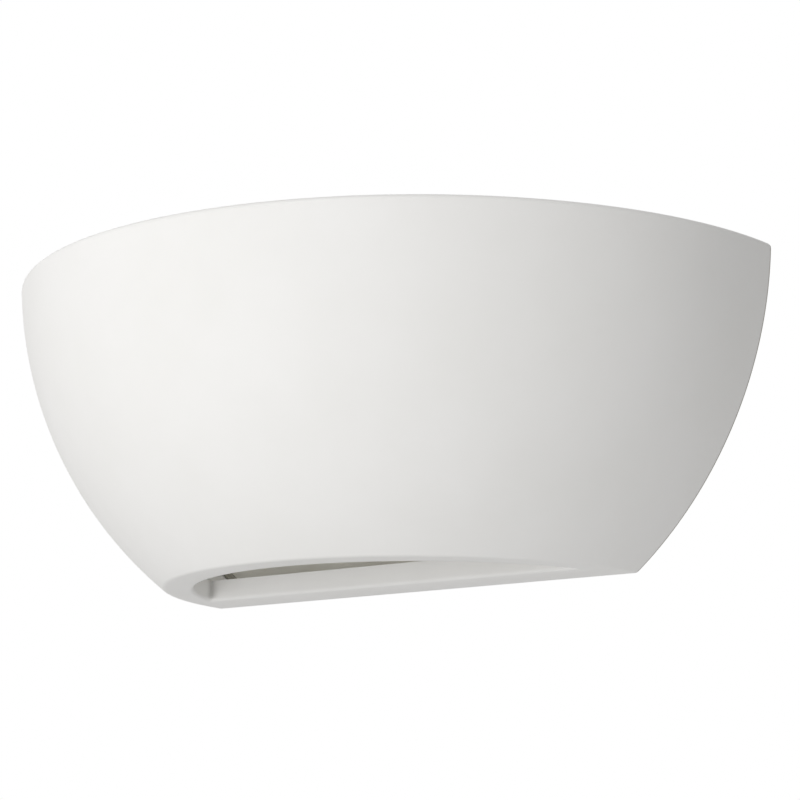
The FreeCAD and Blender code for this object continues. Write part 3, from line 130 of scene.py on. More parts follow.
@dataclass(frozen=True)
class Surface:
    """What every finish here shares: a colour that wanders, a roughness that wanders and a relief.

    Each kind of finish gives these fields the values of its own material.
    """

    name: str
    colour: str
    worn_colour: str
    roughness: float
    roughness_spread: float = 0.05
    cloud_mm: float = 18.0
    cloud_share: float = 0.5
    cloud_range: Pair = (0.35, 0.7)
    gloss_range: Pair = (0.3, 0.7)
    relief_mm: float = 0.8
    relief_height: float = 0.02
    relief_strength: float = 0.3
    metallic: float = 0.0
    grain: Grain = Grain.NONE
    coat: float = 0.0
    coat_roughness: float = 0.1
    subsurface: float = 0.0
    subsurface_mm: float = 4.0
    subsurface_reach: Place = (1.0, 0.9, 0.8)
    specular: float = 0.5

    def build(self) -> bpy.types.Material:
        """Make the material.

        Returns:
            A material on Object coordinates, with the plain values on the shader's own sockets.
        """
        material = bpy.data.materials.new(self.name)
        material.use_nodes = True
        tree = material.node_tree
        shader = tree.nodes["Principled BSDF"]
        shader.inputs["Metallic"].default_value = self.metallic
        shader.inputs["Coat Weight"].default_value = self.coat
        shader.inputs["Coat Roughness"].default_value = self.coat_roughness
        shader.inputs["Specular IOR Level"].default_value = self.specular
        if self.subsurface > 0.0:
            shader.inputs["Subsurface Weight"].default_value = self.subsurface
            shader.inputs["Subsurface Scale"].default_value = self.subsurface_mm * MM
            shader.inputs["Subsurface Radius"].default_value = self.subsurface_reach
        place = add_node(tree, "ShaderNodeTexCoord").outputs["Object"]
        stretched = add_node(tree, "ShaderNodeMapping", {"Scale": self.grain.value},
                             {"Vector": place}).outputs["Vector"]
        cloud = add_node(
            tree, "ShaderNodeTexNoise",
            {"Scale": per_mm(self.cloud_mm), "Detail": 4.0, "Roughness": 0.55},
            {"Vector": stretched}).outputs["Fac"]
        share = add_node(
            tree, "ShaderNodeMapRange",
            {"From Min": self.cloud_range[0], "From Max": self.cloud_range[1],
             "To Max": self.cloud_share}, {"Value": cloud}).outputs["Result"]
        fine = add_node(
            tree, "ShaderNodeTexNoise",
            {"Scale": per_mm(self.relief_mm), "Detail": 3.0, "Roughness": 0.6},
            {"Vector": stretched}).outputs["Fac"]
        gloss = add_node(
            tree, "ShaderNodeMapRange",
            {"From Min": self.gloss_range[0], "From Max": self.gloss_range[1],
             "To Min": max(self.roughness - self.roughness_spread, 0.02),
             "To Max": min(self.roughness + self.roughness_spread, 1.0)},
            {"Value": fine}).outputs["Result"]
        canvas = Canvas(tree, place, share, fine)
        bump = add_node(
            tree, "ShaderNodeBump",
            {"Strength": self.relief_strength, "Distance": self.relief_height * MM},
            {"Height": self.relief(canvas)}).outputs["Normal"]
        tree.links.new(self.paint(canvas), shader.inputs["Base Color"])
        tree.links.new(gloss, shader.inputs["Roughness"])
        tree.links.new(bump, shader.inputs["Normal"])
        return material

    def paint(self, canvas: Canvas) -> Socket:
        """Colour: the fresh one, clouded with the worn one.

        Args:
            canvas: what the finish is painted with.

        Returns:
            The colour.
        """
        return add_node(
            canvas.tree, "ShaderNodeMix",
            {"data_type": "RGBA", 6: linear(self.colour), 7: linear(self.worn_colour)},
            {0: canvas.share}).outputs[2]

    def relief(self, canvas: Canvas) -> Socket:
        """Height of the surface: its fine noise."""
        return canvas.fine


@dataclass(frozen=True)
class CastGypsum(Surface):
    """Gypsum plaster cast in a smooth mould, sanded and sealed: chalky, with a few pinholes."""

    pinhole_mm: float = 9.0
    pinhole_size: Pair = (0.015, 0.05)
    pinhole_depth: float = 4.0
    # painted shade: a grey band on the rounding along the wall, lighter on the flat face against
    # the wall
    wall_shade_mm: float = 2.2
    wall_shade_fade_mm: float = 0.4
    wall_shade_colour: str = "#B0ACA2"
    face_mm: Pair = (-0.3, -0.05)
    face_colour: str = "#D6D3CB"
    # painted shade in the two back corners of the slot
    corner_mm: Pair = (90.8, -22.9)
    corner_reach_mm: float = 7.0
    corner_shade_share: float = 0.5
    corner_shade_colour: str = "#6E6A62"
    mouth_mm: float = -71.4
    mouth_fade_mm: float = 1.2

    def corner_shade(self, tree: Tree, parts: bpy.types.Node) -> Socket:
        """How much painted shade darkens the two sharp back corners of the slot.

        Args:
            tree: the material's tree.
            parts: the node that holds the Object coordinates one by one.

        Returns:
            The share of the painted shade colour.
        """
        side = add_node(tree, "ShaderNodeMath", {"operation": "ABSOLUTE"},
                        {0: parts.outputs["X"]}).outputs["Value"]
        plan = add_node(tree, "ShaderNodeCombineXYZ", None,
                        {"X": side, "Y": parts.outputs["Y"]}).outputs["Vector"]
        corner = Vector((*self.corner_mm, 0.0)) * MM
        away = add_node(tree, "ShaderNodeVectorMath", {"operation": "DISTANCE", 1: corner},
                        {0: plan}).outputs["Value"]
        near = add_node(
            tree, "ShaderNodeMapRange",
            {"interpolation_type": "SMOOTHSTEP", "From Max": self.corner_reach_mm * MM,
             "To Min": self.corner_shade_share, "To Max": 0.0}, {"Value": away}).outputs["Result"]
        inside = add_node(
            tree, "ShaderNodeMapRange",
            {"From Min": self.mouth_mm * MM,
             "From Max": (self.mouth_mm + self.mouth_fade_mm) * MM},
            {"Value": parts.outputs["Z"]}).outputs["Result"]
        return add_node(tree, "ShaderNodeMath", {"operation": "MULTIPLY"},
                        {0: near, 1: inside}).outputs["Value"]

    def paint(self, canvas: Canvas) -> Socket:
        """Colour: sealed white, with painted shade in the slot's back corners and along the wall.

        The rounding next to the wall is painted dark grey as shade, and the flat face against the
        wall a lighter grey.

        Args:
            canvas: what the finish is painted with.

        Returns:
            The colour.
        """
        tree = canvas.tree
        parts = add_node(tree, "ShaderNodeSeparateXYZ", None, {0: canvas.place})
        # painted shade darkens the slot's back corners
        corner_shaded = add_node(
            tree, "ShaderNodeMix", {"data_type": "RGBA", 7: linear(self.corner_shade_colour)},
            {0: self.corner_shade(tree, parts), 6: super().paint(canvas)}).outputs[2]
        # painted shade along the wall: dark grey on the rounding, lighter grey on the flat face
        wall_shade, face = (
            add_node(tree, "ShaderNodeMapRange", {"From Min": low * MM, "From Max": high * MM},
                     {"Value": parts.outputs["Y"]}).outputs["Result"]
            for low, high in ((-self.wall_shade_mm, self.wall_shade_fade_mm - self.wall_shade_mm), self.face_mm))
        wall_shade_tone = add_node(
            tree, "ShaderNodeMix",
            {"data_type": "RGBA", 6: linear(self.wall_shade_colour), 7: linear(self.face_colour)},
            {0: face}).outputs[2]
        return add_node(tree, "ShaderNodeMix", {"data_type": "RGBA"},
                        {0: wall_shade, 6: corner_shaded, 7: wall_shade_tone}).outputs[2]

    def relief(self, canvas: Canvas) -> Socket:
        """Height: fine sanding grain with sparse pinholes where air stood against the mould.

        Args:
            canvas: what the finish is painted with.

        Returns:
            The height of the surface.
        """
        cells = add_node(
            canvas.tree, "ShaderNodeTexVoronoi", {"Scale": per_mm(self.pinhole_mm)},
            {"Vector": canvas.place}).outputs["Distance"]
        holes = add_node(
            canvas.tree, "ShaderNodeMapRange",
            {"From Min": self.pinhole_size[0], "From Max": self.pinhole_size[1],
             "To Min": -self.pinhole_depth, "To Max": 0.0}, {"Value": cells}).outputs["Result"]
        return add_node(canvas.tree, "ShaderNodeMath", {"operation": "ADD"},
                        {0: canvas.fine, 1: holes}).outputs["Value"]


@dataclass(frozen=True)
class StripedInsulation(Surface):
    """PVC wire insulation with a second colour extruded along it as a slow spiral."""

    stripe_colour: str = "#E9CE2E"
    stripe_mm: float = 5.0
    stripe_edge: Pair = (0.62, 0.70)

    def paint(self, canvas: Canvas) -> Socket:
        """Colour: the ground of the insulation and its stripe.

        Args:
            canvas: what the finish is painted with.

        Returns:
            The colour.
        """
        wave = add_node(
            canvas.tree, "ShaderNodeTexWave",
            {"wave_type": "BANDS", "bands_direction": "DIAGONAL",
             "Scale": per_mm(self.stripe_mm) * 2 * math.pi / WAVE_RATE, "Distortion": 0.0},
            {"Vector": canvas.place}).outputs["Fac"]
        edge = add_node(
            canvas.tree, "ShaderNodeMapRange",
            {"From Min": self.stripe_edge[0], "From Max": self.stripe_edge[1]},
            {"Value": wave}).outputs["Result"]
        return add_node(
            canvas.tree, "ShaderNodeMix", {"data_type": "RGBA", 7: linear(self.stripe_colour)},
            {0: edge, 6: super().paint(canvas)}).outputs[2]


@dataclass(frozen=True)
class Metal(Surface):
    """Bare or plated metal: all its colour is in its mirror light, over a very low relief."""

    relief_mm: float = 0.4
    relief_height: float = 0.01
    metallic: float = 1.0


@dataclass(frozen=True)
class Smooth(Surface):
    """Moulded or drawn without texture: a relief that only breaks up the highlights."""

    relief_mm: float = 0.5
    relief_height: float = 0.01


# Cast gypsum, sealed white: dead matt, a faint cloudiness and a grain that only shows close up.
GYPSUM = CastGypsum("cast_gypsum", "#F2F1EF", "#EEEDEA", 0.86, cloud_mm=45.0, cloud_share=0.6,
                    relief_mm=0.9, relief_height=0.05, relief_strength=0.25, specular=0.25)
# Polyester powder on pressed steel: white, low gloss, with the slight orange peel of the cure.
POWDER = Surface("white_powder_coat", "#F3F1E9", "#EAE7DC", 0.42, cloud_mm=30.0, relief_mm=1.1,
                 relief_height=0.03, relief_strength=0.35)
# Blue-bright zinc on mild steel: a cool satin metal with faint clouds where the plating is thicker.
ZINC = Metal("bright_zinc_plate", "#C4C8CC", "#AEB0AC", 0.30, 0.08, cloud_mm=5.0, relief_mm=0.5)
# Zinc-plated sheet as rolled: the same metal with fine marks along the strip.
ZINC_SHEET = Metal("zinc_plated_sheet", "#BFC3C6", "#A9ABA8", 0.34, 0.09, cloud_mm=7.0,
                   relief_mm=0.6, grain=Grain.ALONG)
# Free-cutting brass, turned and left bare: warm, dulled by handling.
BRASS = Metal("turned_brass", "#D9B56A", "#B08A45", 0.27, 0.08, cloud_mm=4.0, relief_mm=0.35)
# Brass strip, rolled and nickel flashed, for the parts that make contact.
CONTACT = Metal("flashed_brass_strip", "#CFC0A0", "#B39C6C", 0.30, 0.08, cloud_mm=3.0,
                grain=Grain.ALONG)
# Tinned copper: soft and grey-white.
TINNED = Metal("tinned_copper", "#D2D2D0", "#B9B4AC", 0.36, 0.07, cloud_mm=3.0)
# Rolled aluminium lamp cap: bright satin, with marks round it from the rolling.
CAP_ALUMINIUM = Metal("rolled_aluminium", "#D4D5D5", "#BDBDBB", 0.31, 0.07, cloud_mm=4.0,
                      relief_height=0.008, grain=Grain.OUT)
# EPDM rubber, moulded: black going grey where it has been handled.
RUBBER = Surface("moulded_rubber", "#1B1B1C", "#2B2B2B", 0.72, 0.06, cloud_mm=5.0, relief_mm=0.5)
# Closed-cell polyethylene foam strip: dead matt, open cut cells along its edges; its grey is
# painted shade for the gap to the wall behind.
SHADE_GREY_FOAM = Surface("shade_grey_foam", "#A9A69B", "#9C998E", 0.92, 0.04, cloud_mm=6.0, relief_mm=0.45,
               relief_height=0.12, relief_strength=0.6, specular=0.2)
# Polyamide 6, natural: slightly yellow and waxy, with a little depth.
NYLON = Surface("natural_polyamide", "#EFEDE3", "#E5E2D5", 0.46, 0.06, cloud_mm=9.0,
                relief_mm=0.7, relief_height=0.015, subsurface=0.12)
# Glass-filled thermoplastic, white, moulded: semi-gloss with the fine spark texture of the tool.
HOLDER_WHITE = Surface("moulded_thermoplastic", "#ECECE8", "#E2E1DB", 0.33, cloud_mm=14.0,
                       relief_mm=0.45, relief_height=0.015, coat=0.15)
# Steatite insert: cream ceramic, dry pressed and unglazed.
STEATITE = Surface("pressed_steatite", "#E4DDCB", "#D6CDB7", 0.62, 0.06, cloud_mm=4.0,
                   relief_mm=0.4, relief_height=0.03)
# Black vitrite, the glass that holds a lamp's end contact.
VITRITE = Smooth("black_vitrite", "#121216", "#1D1D22", 0.10, 0.03, cloud_mm=3.0, relief_mm=1.0)
# Thermally conductive plastic, white, satin.
LAMP_WHITE = Smooth("satin_thermoplastic", "#F0F0EC", "#E7E7E2", 0.38, cloud_mm=16.0)
# Opal polycarbonate diffuser: milky, with light wandering under the skin.
OPAL = Surface("opal_polycarbonate", "#F5F5F1", "#EFEEE8", 0.30, 0.04, cloud_mm=20.0,
               relief_height=0.006, subsurface=0.35)
# Glass-epoxy laminate under green solder mask.
LAMINATE = Surface("green_laminate", "#1E6B3A", "#175A30", 0.40, cloud_mm=2.0, relief_mm=0.5)
# White solder mask on an aluminium core.
SOLDER_MASK = Smooth("white_solder_mask", "#EFEFEA", "#E3E2DA", 0.36, cloud_mm=4.0)
# Silicone filled with yellow phosphor.
PHOSPHOR = Smooth("phosphor_silicone", "#E8C64A", "#DDB535", 0.45, cloud_mm=1.0, relief_mm=0.3)
# PVC insulation: satin, drawn smooth.
BROWN_PVC = Smooth("brown_insulation", "#5A3319", "#4B2A14", 0.38, cloud_mm=6.0, relief_mm=0.6)
BLUE_PVC = Smooth("blue_insulation", "#1F4FA0", "#194488", 0.38, cloud_mm=6.0, relief_mm=0.6)
EARTH_PVC = StripedInsulation("earth_insulation", "#2F8A3C", "#277834", 0.38, cloud_mm=6.0,
                              relief_mm=0.6, relief_height=0.01)

MADE: dict[str, bpy.types.Material] = {}


def material_of(finish: Surface) -> bpy.types.Material:
    """The material of a finish, made once.

    Args:
        finish: the finish.

    Returns:
        Its material.
    """
    if finish.name not in MADE:
        MADE[finish.name] = finish.build()
    return MADE[finish.name]


def dress(piece: Piece, finish: Surface) -> None:
    """Give an object one finish all over.

    Args:
        piece: a new piece or a CAD node.
        finish: the finish.
    """
    if piece.data.materials:
        for number in range(len(piece.data.materials)):
            piece.data.materials[number] = material_of(finish)
    else:
        piece.data.materials.append(material_of(finish))


# ---------------------------------------------------------------- modelling

class Axis(Enum):
    """Which way a piece points: the rotation that lays +Z on that way."""

    UP = (0.0, 0.0, 0.0)
    OUT = (math.pi / 2, 0.0, 0.0)
    ALONG = (0.0, math.pi / 2, 0.0)


class Join(Enum):
    """How a tool meets a piece."""

    CUT = "DIFFERENCE"
    KEEP_COMMON = "INTERSECT"


class Element(Enum):
    """What of a mesh is picked by place."""

    FACES = "FACE"
    EDGES = "EDGE"


def deselect_all() -> None:
    """Leave nothing selected."""
    for thing in bpy.context.selected_objects:
        thing.select_set(False)


def pick(piece: Piece) -> None:
    """Select one object and make it the active one.

    Args:
        piece: the object.
    """
    deselect_all()
    piece.select_set(True)
    bpy.context.view_layer.objects.active = piece


@contextmanager
def editing(piece: Piece) -> Iterator[None]:
    """Open an object for editing with all its vertices selected, and close it again.

    Args:
        piece: the object.

    Yields:
        Nothing; the object is in edit mode.
    """
    pick(piece)
    bpy.ops.object.mode_set(mode="EDIT")
    bpy.ops.mesh.select_mode(type="VERT")
    bpy.ops.mesh.select_all(action="SELECT")
    yield
    bpy.ops.object.mode_set(mode="OBJECT")


def apply_place() -> None:
    """Write the active object's place, turn and size into its mesh."""
    bpy.ops.object.transform_apply(location=True, rotation=True, scale=True)


def smooth(piece: Piece, degrees: float) -> None:
    """Shade smooth, but keep edges sharp where faces meet at more than these degrees."""
    pick(piece)
    bpy.ops.object.shade_smooth_by_angle(angle=math.radians(degrees))


def close_up() -> None:
    """Merge doubles, close open ends and point the faces outwards, in edit mode."""
    bpy.ops.mesh.select_all(action="SELECT")
    bpy.ops.mesh.remove_doubles(threshold=SAME_POINT)
    bpy.ops.mesh.select_all(action="DESELECT")
    bpy.ops.mesh.select_non_manifold()
    bpy.ops.mesh.fill_holes(sides=0)
    bpy.ops.mesh.select_all(action="SELECT")
    bpy.ops.mesh.normals_make_consistent(inside=False)


def close_and_smooth(piece: Piece) -> None:
    """Close an object's mesh and shade it by angle.

    Args:
        piece: the object, in object mode.
    """
    with editing(piece):
        close_up()
    smooth(piece, 35.0)


def arc(centre: Pair, radius: float, start: float, end: float, count: int) -> list[Pair]:
    """Points on an arc.

    Args:
        centre: its centre.
        radius: its radius.
        start: first angle in degrees.
        end: last angle in degrees.
        count: number of steps.

    Returns:
        The points, both ends included.
    """
    points = []
    for step in range(count + 1):
        angle = math.radians(start + (end - start) * step / count)
        points.append((centre[0] + radius * math.cos(angle),
                       centre[1] + radius * math.sin(angle)))
    return points


def polyline(name: str, points: list[Place], closed: bool) -> Piece:
    """Line of edges, drawn from one vertex by extruding.

    Args:
        name: the object's name.
        points: corners in millimetres.
        closed: whether the last point joins the first.

    Returns:
        The new object, in object mode.
    """
    deselect_all()
    bpy.ops.mesh.primitive_plane_add(size=MM, location=(0, 0, 0))
    line = bpy.context.object
    line.name = name
    with editing(line):
        bpy.ops.mesh.merge(type="CENTER")
        here = Vector((0, 0, 0))
        for number, point in enumerate(points + points[:1] if closed else points):
            there = Vector(point) * MM
            if number == 0:
                bpy.ops.transform.translate(value=there - here)
            else:
                bpy.ops.mesh.extrude_region_move(
                    TRANSFORM_OT_translate={"value": there - here})
            here = there
        if closed:
            bpy.ops.mesh.select_all(action="SELECT")
            bpy.ops.mesh.remove_doubles(threshold=SAME_POINT)
    return line


def prism(name: str, outline: list[Place], depth: Place) -> Piece:
    """Flat outline pushed into a solid.

    Args:
        name: the object's name.
        outline: its corners in order, in millimetres.
        depth: which way and how far it is pushed, in millimetres.

    Returns:
        The closed solid.
    """
    piece = polyline(name, outline, True)
    with editing(piece):
        bpy.ops.mesh.edge_face_add()
        bpy.ops.mesh.extrude_region_move(
            TRANSFORM_OT_translate={"value": tuple(step * MM for step in depth)})
    close_and_smooth(piece)
    return piece


def set_in_place(piece: Piece, axis: Axis, foot: Place) -> None:
    """Turn a piece made about +Z onto its axis, move it to its foot and apply both.

    Args:
        piece: the object.
        axis: where +Z goes.
        foot: place of the piece's zero, in millimetres.
    """
    pick(piece)
    piece.rotation_euler = axis.value
    piece.location = Vector(foot) * MM
    apply_place()


def turned(name: str, axis: Axis, foot: Place, section: list[Pair], steps: int = 64,
           bored: bool = False) -> Piece:
    """Piece turned about an axis.

    Args:
        name: the object's name.
        axis: the piece's axis.
        foot: where its station 0 stands, in millimetres.
        section: (station, radius) points in order.
        steps: faces round it.
        bored: True where the section is a closed loop round a bore.

    Returns:
        The finished object.
    """
    piece = polyline(name, [(radius, 0.0, station) for station, radius in section], bored)
    with editing(piece):
        bpy.ops.mesh.spin(steps=steps, angle=2 * math.pi, center=(0, 0, 0), axis=(0, 0, 1))
    close_and_smooth(piece)
    set_in_place(piece, axis, foot)
    return piece


def threaded(name: str, axis: Axis, foot: Place, reach: Pair, crest: float, pitch: float,
             depth: float, steps: int = 24, round_crests: bool = False) -> Piece:
    """Rod with a screw thread, cut square at both ends.

    Args:
        name: the object's name.
        axis: the rod's axis.
        foot: where its station 0 stands, in millimetres.
        reach: first and last station.
        crest: outer radius of the thread.
        pitch: travel in one turn.
        depth: crest to root.
        steps: faces in one turn.
        round_crests: True for a rolled lamp thread, False for a cut one.

    Returns:
        The finished object.
    """
    start, end = reach
    lead_in = 1.5 * pitch  # below the first station, so that both cuts go through whole turns
    if round_crests:
        share = [i / 8 for i in range(9)]
        wave = [(crest - depth * (0.5 - 0.5 * math.cos(2 * math.pi * s)), s) for s in share]
    else:
        wave = [(crest - depth, 0.0), (crest, 0.42), (crest, 0.58), (crest - depth, 1.0)]
    points = [(radius, 0.0, start - lead_in + s * pitch) for radius, s in wave]
    rod = polyline(name, points, False)
    turns = rod.modifiers.new("thread", "SCREW")
    turns.axis = "Z"
    turns.screw_offset = pitch * MM
    turns.iterations = int((end - start) / pitch) + 3
    turns.steps = turns.render_steps = steps
    turns.use_merge_vertices = True
    turns.merge_threshold = SAME_POINT
    pick(rod)
    bpy.ops.object.modifier_apply(modifier=turns.name)
    with editing(rod):
        bpy.ops.mesh.remove_doubles(threshold=SAME_POINT)
        for station, outer in ((start, False), (end, True)):
            bpy.ops.mesh.select_all(action="SELECT")
            bpy.ops.mesh.bisect(plane_co=(0, 0, station * MM), plane_no=(0, 0, 1),
                                use_fill=True, clear_inner=not outer, clear_outer=outer)
    close_and_smooth(rod)
    set_in_place(rod, axis, foot)
    return rod


def block(name: str, low: Place, high: Place) -> Piece:
    """Box between two corners.

    Args:
        name: the object's name.
        low: lowest corner in millimetres.
        high: highest corner in millimetres.

    Returns:
        The new object.
    """
    deselect_all()
    middle = (Vector(low) + Vector(high)) * 0.5 * MM
    bpy.ops.mesh.primitive_cube_add(size=1.0, location=middle)
    piece = bpy.context.object
    piece.name = name
    piece.scale = (Vector(high) - Vector(low)) * MM
    apply_place()
    return piece


def combine(piece: Piece, tool: Piece, join: Join) -> None:
    """Apply a tool to a piece with a boolean modifier and delete the tool.

    Args:
        piece: the object that stays.
        tool: the object that is used up.
        join: what the tool does.
    """
    step = piece.modifiers.new("step", "BOOLEAN")
    step.operation = join.value
    step.object = tool
    step.solver = "EXACT"
    pick(piece)
    bpy.ops.object.modifier_apply(modifier=step.name)
    bpy.data.objects.remove(tool, do_unlink=True)


def merge_pieces(pieces: list[Piece]) -> Piece:
    """Join several objects into the first.

    Args:
        pieces: the objects.

    Returns:
        The first, which now holds them all.
    """
    pick(pieces[0])
    for piece in pieces:
        piece.select_set(True)
    bpy.ops.object.join()
    return pieces[0]


def select_where(piece: Piece, kind: Element, test: Test) -> int:
    """Select faces or edges by place, in edit mode.

    Args:
        piece: the object, in object mode.
        kind: which of the two.
        test: takes a face's centre and normal or an edge's two ends, in millimetres.

    Returns:
        How many were selected; the object is left in edit mode.
    """
    pick(piece)
    bpy.ops.object.mode_set(mode="EDIT")
    bpy.ops.mesh.select_mode(type=kind.value)
    bpy.ops.mesh.select_all(action="DESELECT")
    bpy.ops.object.mode_set(mode="OBJECT")
    mesh = piece.data
    if kind is Element.FACES:
        found = [face for face in mesh.polygons if test(face.center / MM, face.normal)]
    else:
        found = [edge for edge in mesh.edges
                 if test(*(mesh.vertices[end].co / MM for end in edge.vertices))]
    for element in found:
        element.select = True
    bpy.ops.object.mode_set(mode="EDIT")
    return len(found)


def both(on: Callable[[Vector], bool]) -> Test:
    """Test of an edge that asks the same of its two ends."""
    return lambda first, second: on(first) and on(second)


def bevel_where(piece: Piece, test: Test, width: float, segments: int) -> int:
    """Round the edges that pass a test.

    Args:
        piece: the object.
        test: takes an edge's two ends, in millimetres.
        width: width of the rounding in millimetres.
        segments: faces across it.

    Returns:
        How many edges were rounded.
    """
    found = select_where(piece, Element.EDGES, test)
    bpy.ops.mesh.bevel(offset=width * MM, segments=segments, affect="EDGES")
    bpy.ops.object.mode_set(mode="OBJECT")
    return found


def finish_piece(piece: Piece, body: str, slot: str, finish: Surface, *nodes: str) -> None:
    """Dress a new piece, hang it on its body and let it stand for CAD nodes.

    Args:
        piece: the object.
        body: the CAD body that carries it.
        slot: the record's material slot; not used.
        finish: its finish.
        nodes: CAD nodes that it replaces.
    """
    dress(piece, finish)
    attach(piece, body)
    if nodes:
        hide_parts(*nodes)
    log.info("piece %s: %s, %d faces", piece.name, finish.name, len(piece.data.polygons))


# ---------------------------------------------------------------- the plaster bowl

@dataclass
class PlasterBowl:
    """Half bowl cast in plaster: a band of a hollow sphere with a flat slotted floor.

    corner_x and corner_y frame the slot's rounded back corners in plan.
    """

    radius: float = 160.5
    wall: float = 12.0
    centre_height: float = 52.0
    rim_height: float = 46.0
    base_height: float = -72.5
    floor_thick: float = 8.5
    rim_round: float = 2.0
    base_round: float = 3.0
    floor_corner: float = 2.5
    slot_radius: float = 92.59
    slot_arc_back: float = 4.9
    slot_back: float = 22.9
    slot_corner: float = 1.5
    slot_round: float = 1.5
    corner_x: Pair = (84.5, 91.5)
    corner_y: Pair = (-26.5, -22.8)
    ear_inner: float = 127.0
    ear_front: float = 36.0
    ear_root: float = 14.0
    ear_slope: float = 10.0
    ear_half_height: float = 18.0
    ear_overlap: float = 0.3
    bed_depth: float = 3.5
    bed_outline: tuple[Pair, ...] = ((107.0, 9.0), (132.0, 9.0), (143.0, 13.0),
                                     (143.0, -13.0), (132.0, -9.0), (107.0, -9.0))
    turn_steps: int = 180
    rise_steps: int = 56
    round_steps: int = 6
    edge_steps: int = 5

    def section(self) -> list[Pair]:
        """Closed section of the wall and half the floor.

        Returns:
            (radius, height) points.
        """
        mid = self.centre_height
        inner = self.radius - self.wall

        def corner(sphere_reach: float, height: float) -> tuple[Pair, float]:
            """Centre of a rounding and the angle of the sphere's normal there."""
            across = math.sqrt(sphere_reach ** 2 - (height - mid) ** 2)
            return (across, height), math.degrees(math.atan2(height - mid, across))

        foot, foot_angle = corner(self.radius - self.base_round,
                                  self.base_height + self.base_round)
        rim, rim_angle = corner(self.radius - self.rim_round, self.rim_height - self.rim_round)
        lip, lip_angle = corner(inner + self.rim_round, self.rim_height - self.rim_round)
        hollow, hollow_angle = corner(inner - self.floor_corner,
                                      self.base_height + self.floor_thick + self.floor_corner)
        few, many = self.round_steps, self.rise_steps
        points = arc(foot, self.base_round, -90.0, foot_angle, few)
        points += arc((0.0, mid), self.radius, foot_angle, rim_angle, many)[1:]
        points += arc(rim, self.rim_round, rim_angle, 90.0, few)[1:]
        points += arc(lip, self.rim_round, 90.0, 180.0 + lip_angle, few)
        points += arc((0.0, mid), inner, lip_angle, hollow_angle, many)[1:]
        points += arc(hollow, self.floor_corner, hollow_angle, -90.0, few)[1:]
        return points + [(0.0, self.base_height + self.floor_thick), (0.0, self.base_height)]

    def shell(self) -> Piece:
        """Turn the section through half a circle and close its ends against the wall.

        Returns:
            The bowl without its slot, lugs and beds.
        """
        points = [(radius, 0.0, height) for radius, height in self.section()]
        bowl = polyline("plaster_half_bowl", points, True)
        with editing(bowl):
            bpy.ops.mesh.spin(steps=self.turn_steps, angle=math.pi, center=(0, 0, 0),
                              axis=(0, 0, 1))
            close_up()
            bpy.ops.mesh.dissolve_limited(angle_limit=math.radians(0.05))
        return bowl

    def slot_tool(self) -> Piece:
        """Prism in the plan of the downlight slot, with its two back corners rounded.

        Returns:
            The tool.
        """
        deselect_all()
        low = self.base_height - 3 * OVERCUT
        high = self.base_height + self.floor_thick + OVERCUT
        bpy.ops.mesh.primitive_cylinder_add(
            vertices=2 * self.turn_steps, radius=self.slot_radius * MM, depth=(high - low) * MM,
            location=Vector((0.0, self.slot_arc_back, (low + high) / 2)) * MM)
        tool = bpy.context.object
        apply_place()
        with editing(tool):
            bpy.ops.mesh.bisect(plane_co=(0, -self.slot_back * MM, 0), plane_no=(0, 1, 0),
                                use_fill=True, clear_outer=True)

        def on_back(point: Vector) -> bool:
            """True on the flat back of the tool."""
            return abs(point.y + self.slot_back) < SLACK

        def back_corner(first: Vector, second: Vector) -> bool:
            """True for the upright edge at one end of the slot's back."""
            return on_back(first) and on_back(second) and abs(first.x) > self.slot_radius / 2 \
                and abs(first.z - second.z) > self.floor_thick

        bevel_where(tool, back_corner, self.slot_corner, self.round_steps)
        return tool

    def ear(self, side: float) -> Piece:
        """Lug inside one end of the wall.

        Args:
            side: 1 for the right end, -1 for the left.

        Returns:
            The lug, cut to a sphere within the wall.
        """
        outline = [
            (self.ear_inner, 0.0), (self.ear_inner, self.ear_root),
            (self.ear_inner + self.ear_slope, self.ear_front), (self.radius, self.ear_front),
            (self.radius, 0.0)]
        lug = prism("bowl_ear", [(side * x, -out, -self.ear_half_height) for x, out in outline],
                    (0.0, 0.0, 2 * self.ear_half_height))
        deselect_all()
        bpy.ops.mesh.primitive_uv_sphere_add(
            segments=self.turn_steps, ring_count=self.turn_steps // 2,
            radius=(self.radius - self.wall + self.ear_overlap) * MM,
            location=(0, 0, self.centre_height * MM))
        limit = bpy.context.object
        apply_place()
        combine(lug, limit, Join.KEEP_COMMON)
        return lug

    def bed_tool(self, side: float) -> Piece:
        """Bed of the hanger tab on one side, as a prism against the wall plane."""
        return prism("tab_bed", [(side * x, OVERCUT, z) for x, z in self.bed_outline],
                     (0.0, -self.bed_depth - OVERCUT, 0.0))

    def on_mouth(self, point: Vector) -> bool:
        """True on the slot's edge in the underside.

        Args:
            point: a corner of the mesh, in millimetres.

        Returns:
            Whether it lies on the arc, on the straight back or in a rounded back corner.
        """
        if abs(point.z - self.base_height) > SLACK / 10:
            return False
        away = math.hypot(point.x, point.y - self.slot_arc_back) - self.slot_radius
        on_arc = abs(away) < 5 * SLACK and point.y < -self.slot_back
        on_back = abs(point.y + self.slot_back) < SLACK and abs(point.x) < self.slot_radius
        near_corner = (self.corner_x[0] < abs(point.x) < self.corner_x[1]
                       and self.corner_y[0] < point.y < self.corner_y[1])
        return on_arc or on_back or near_corner

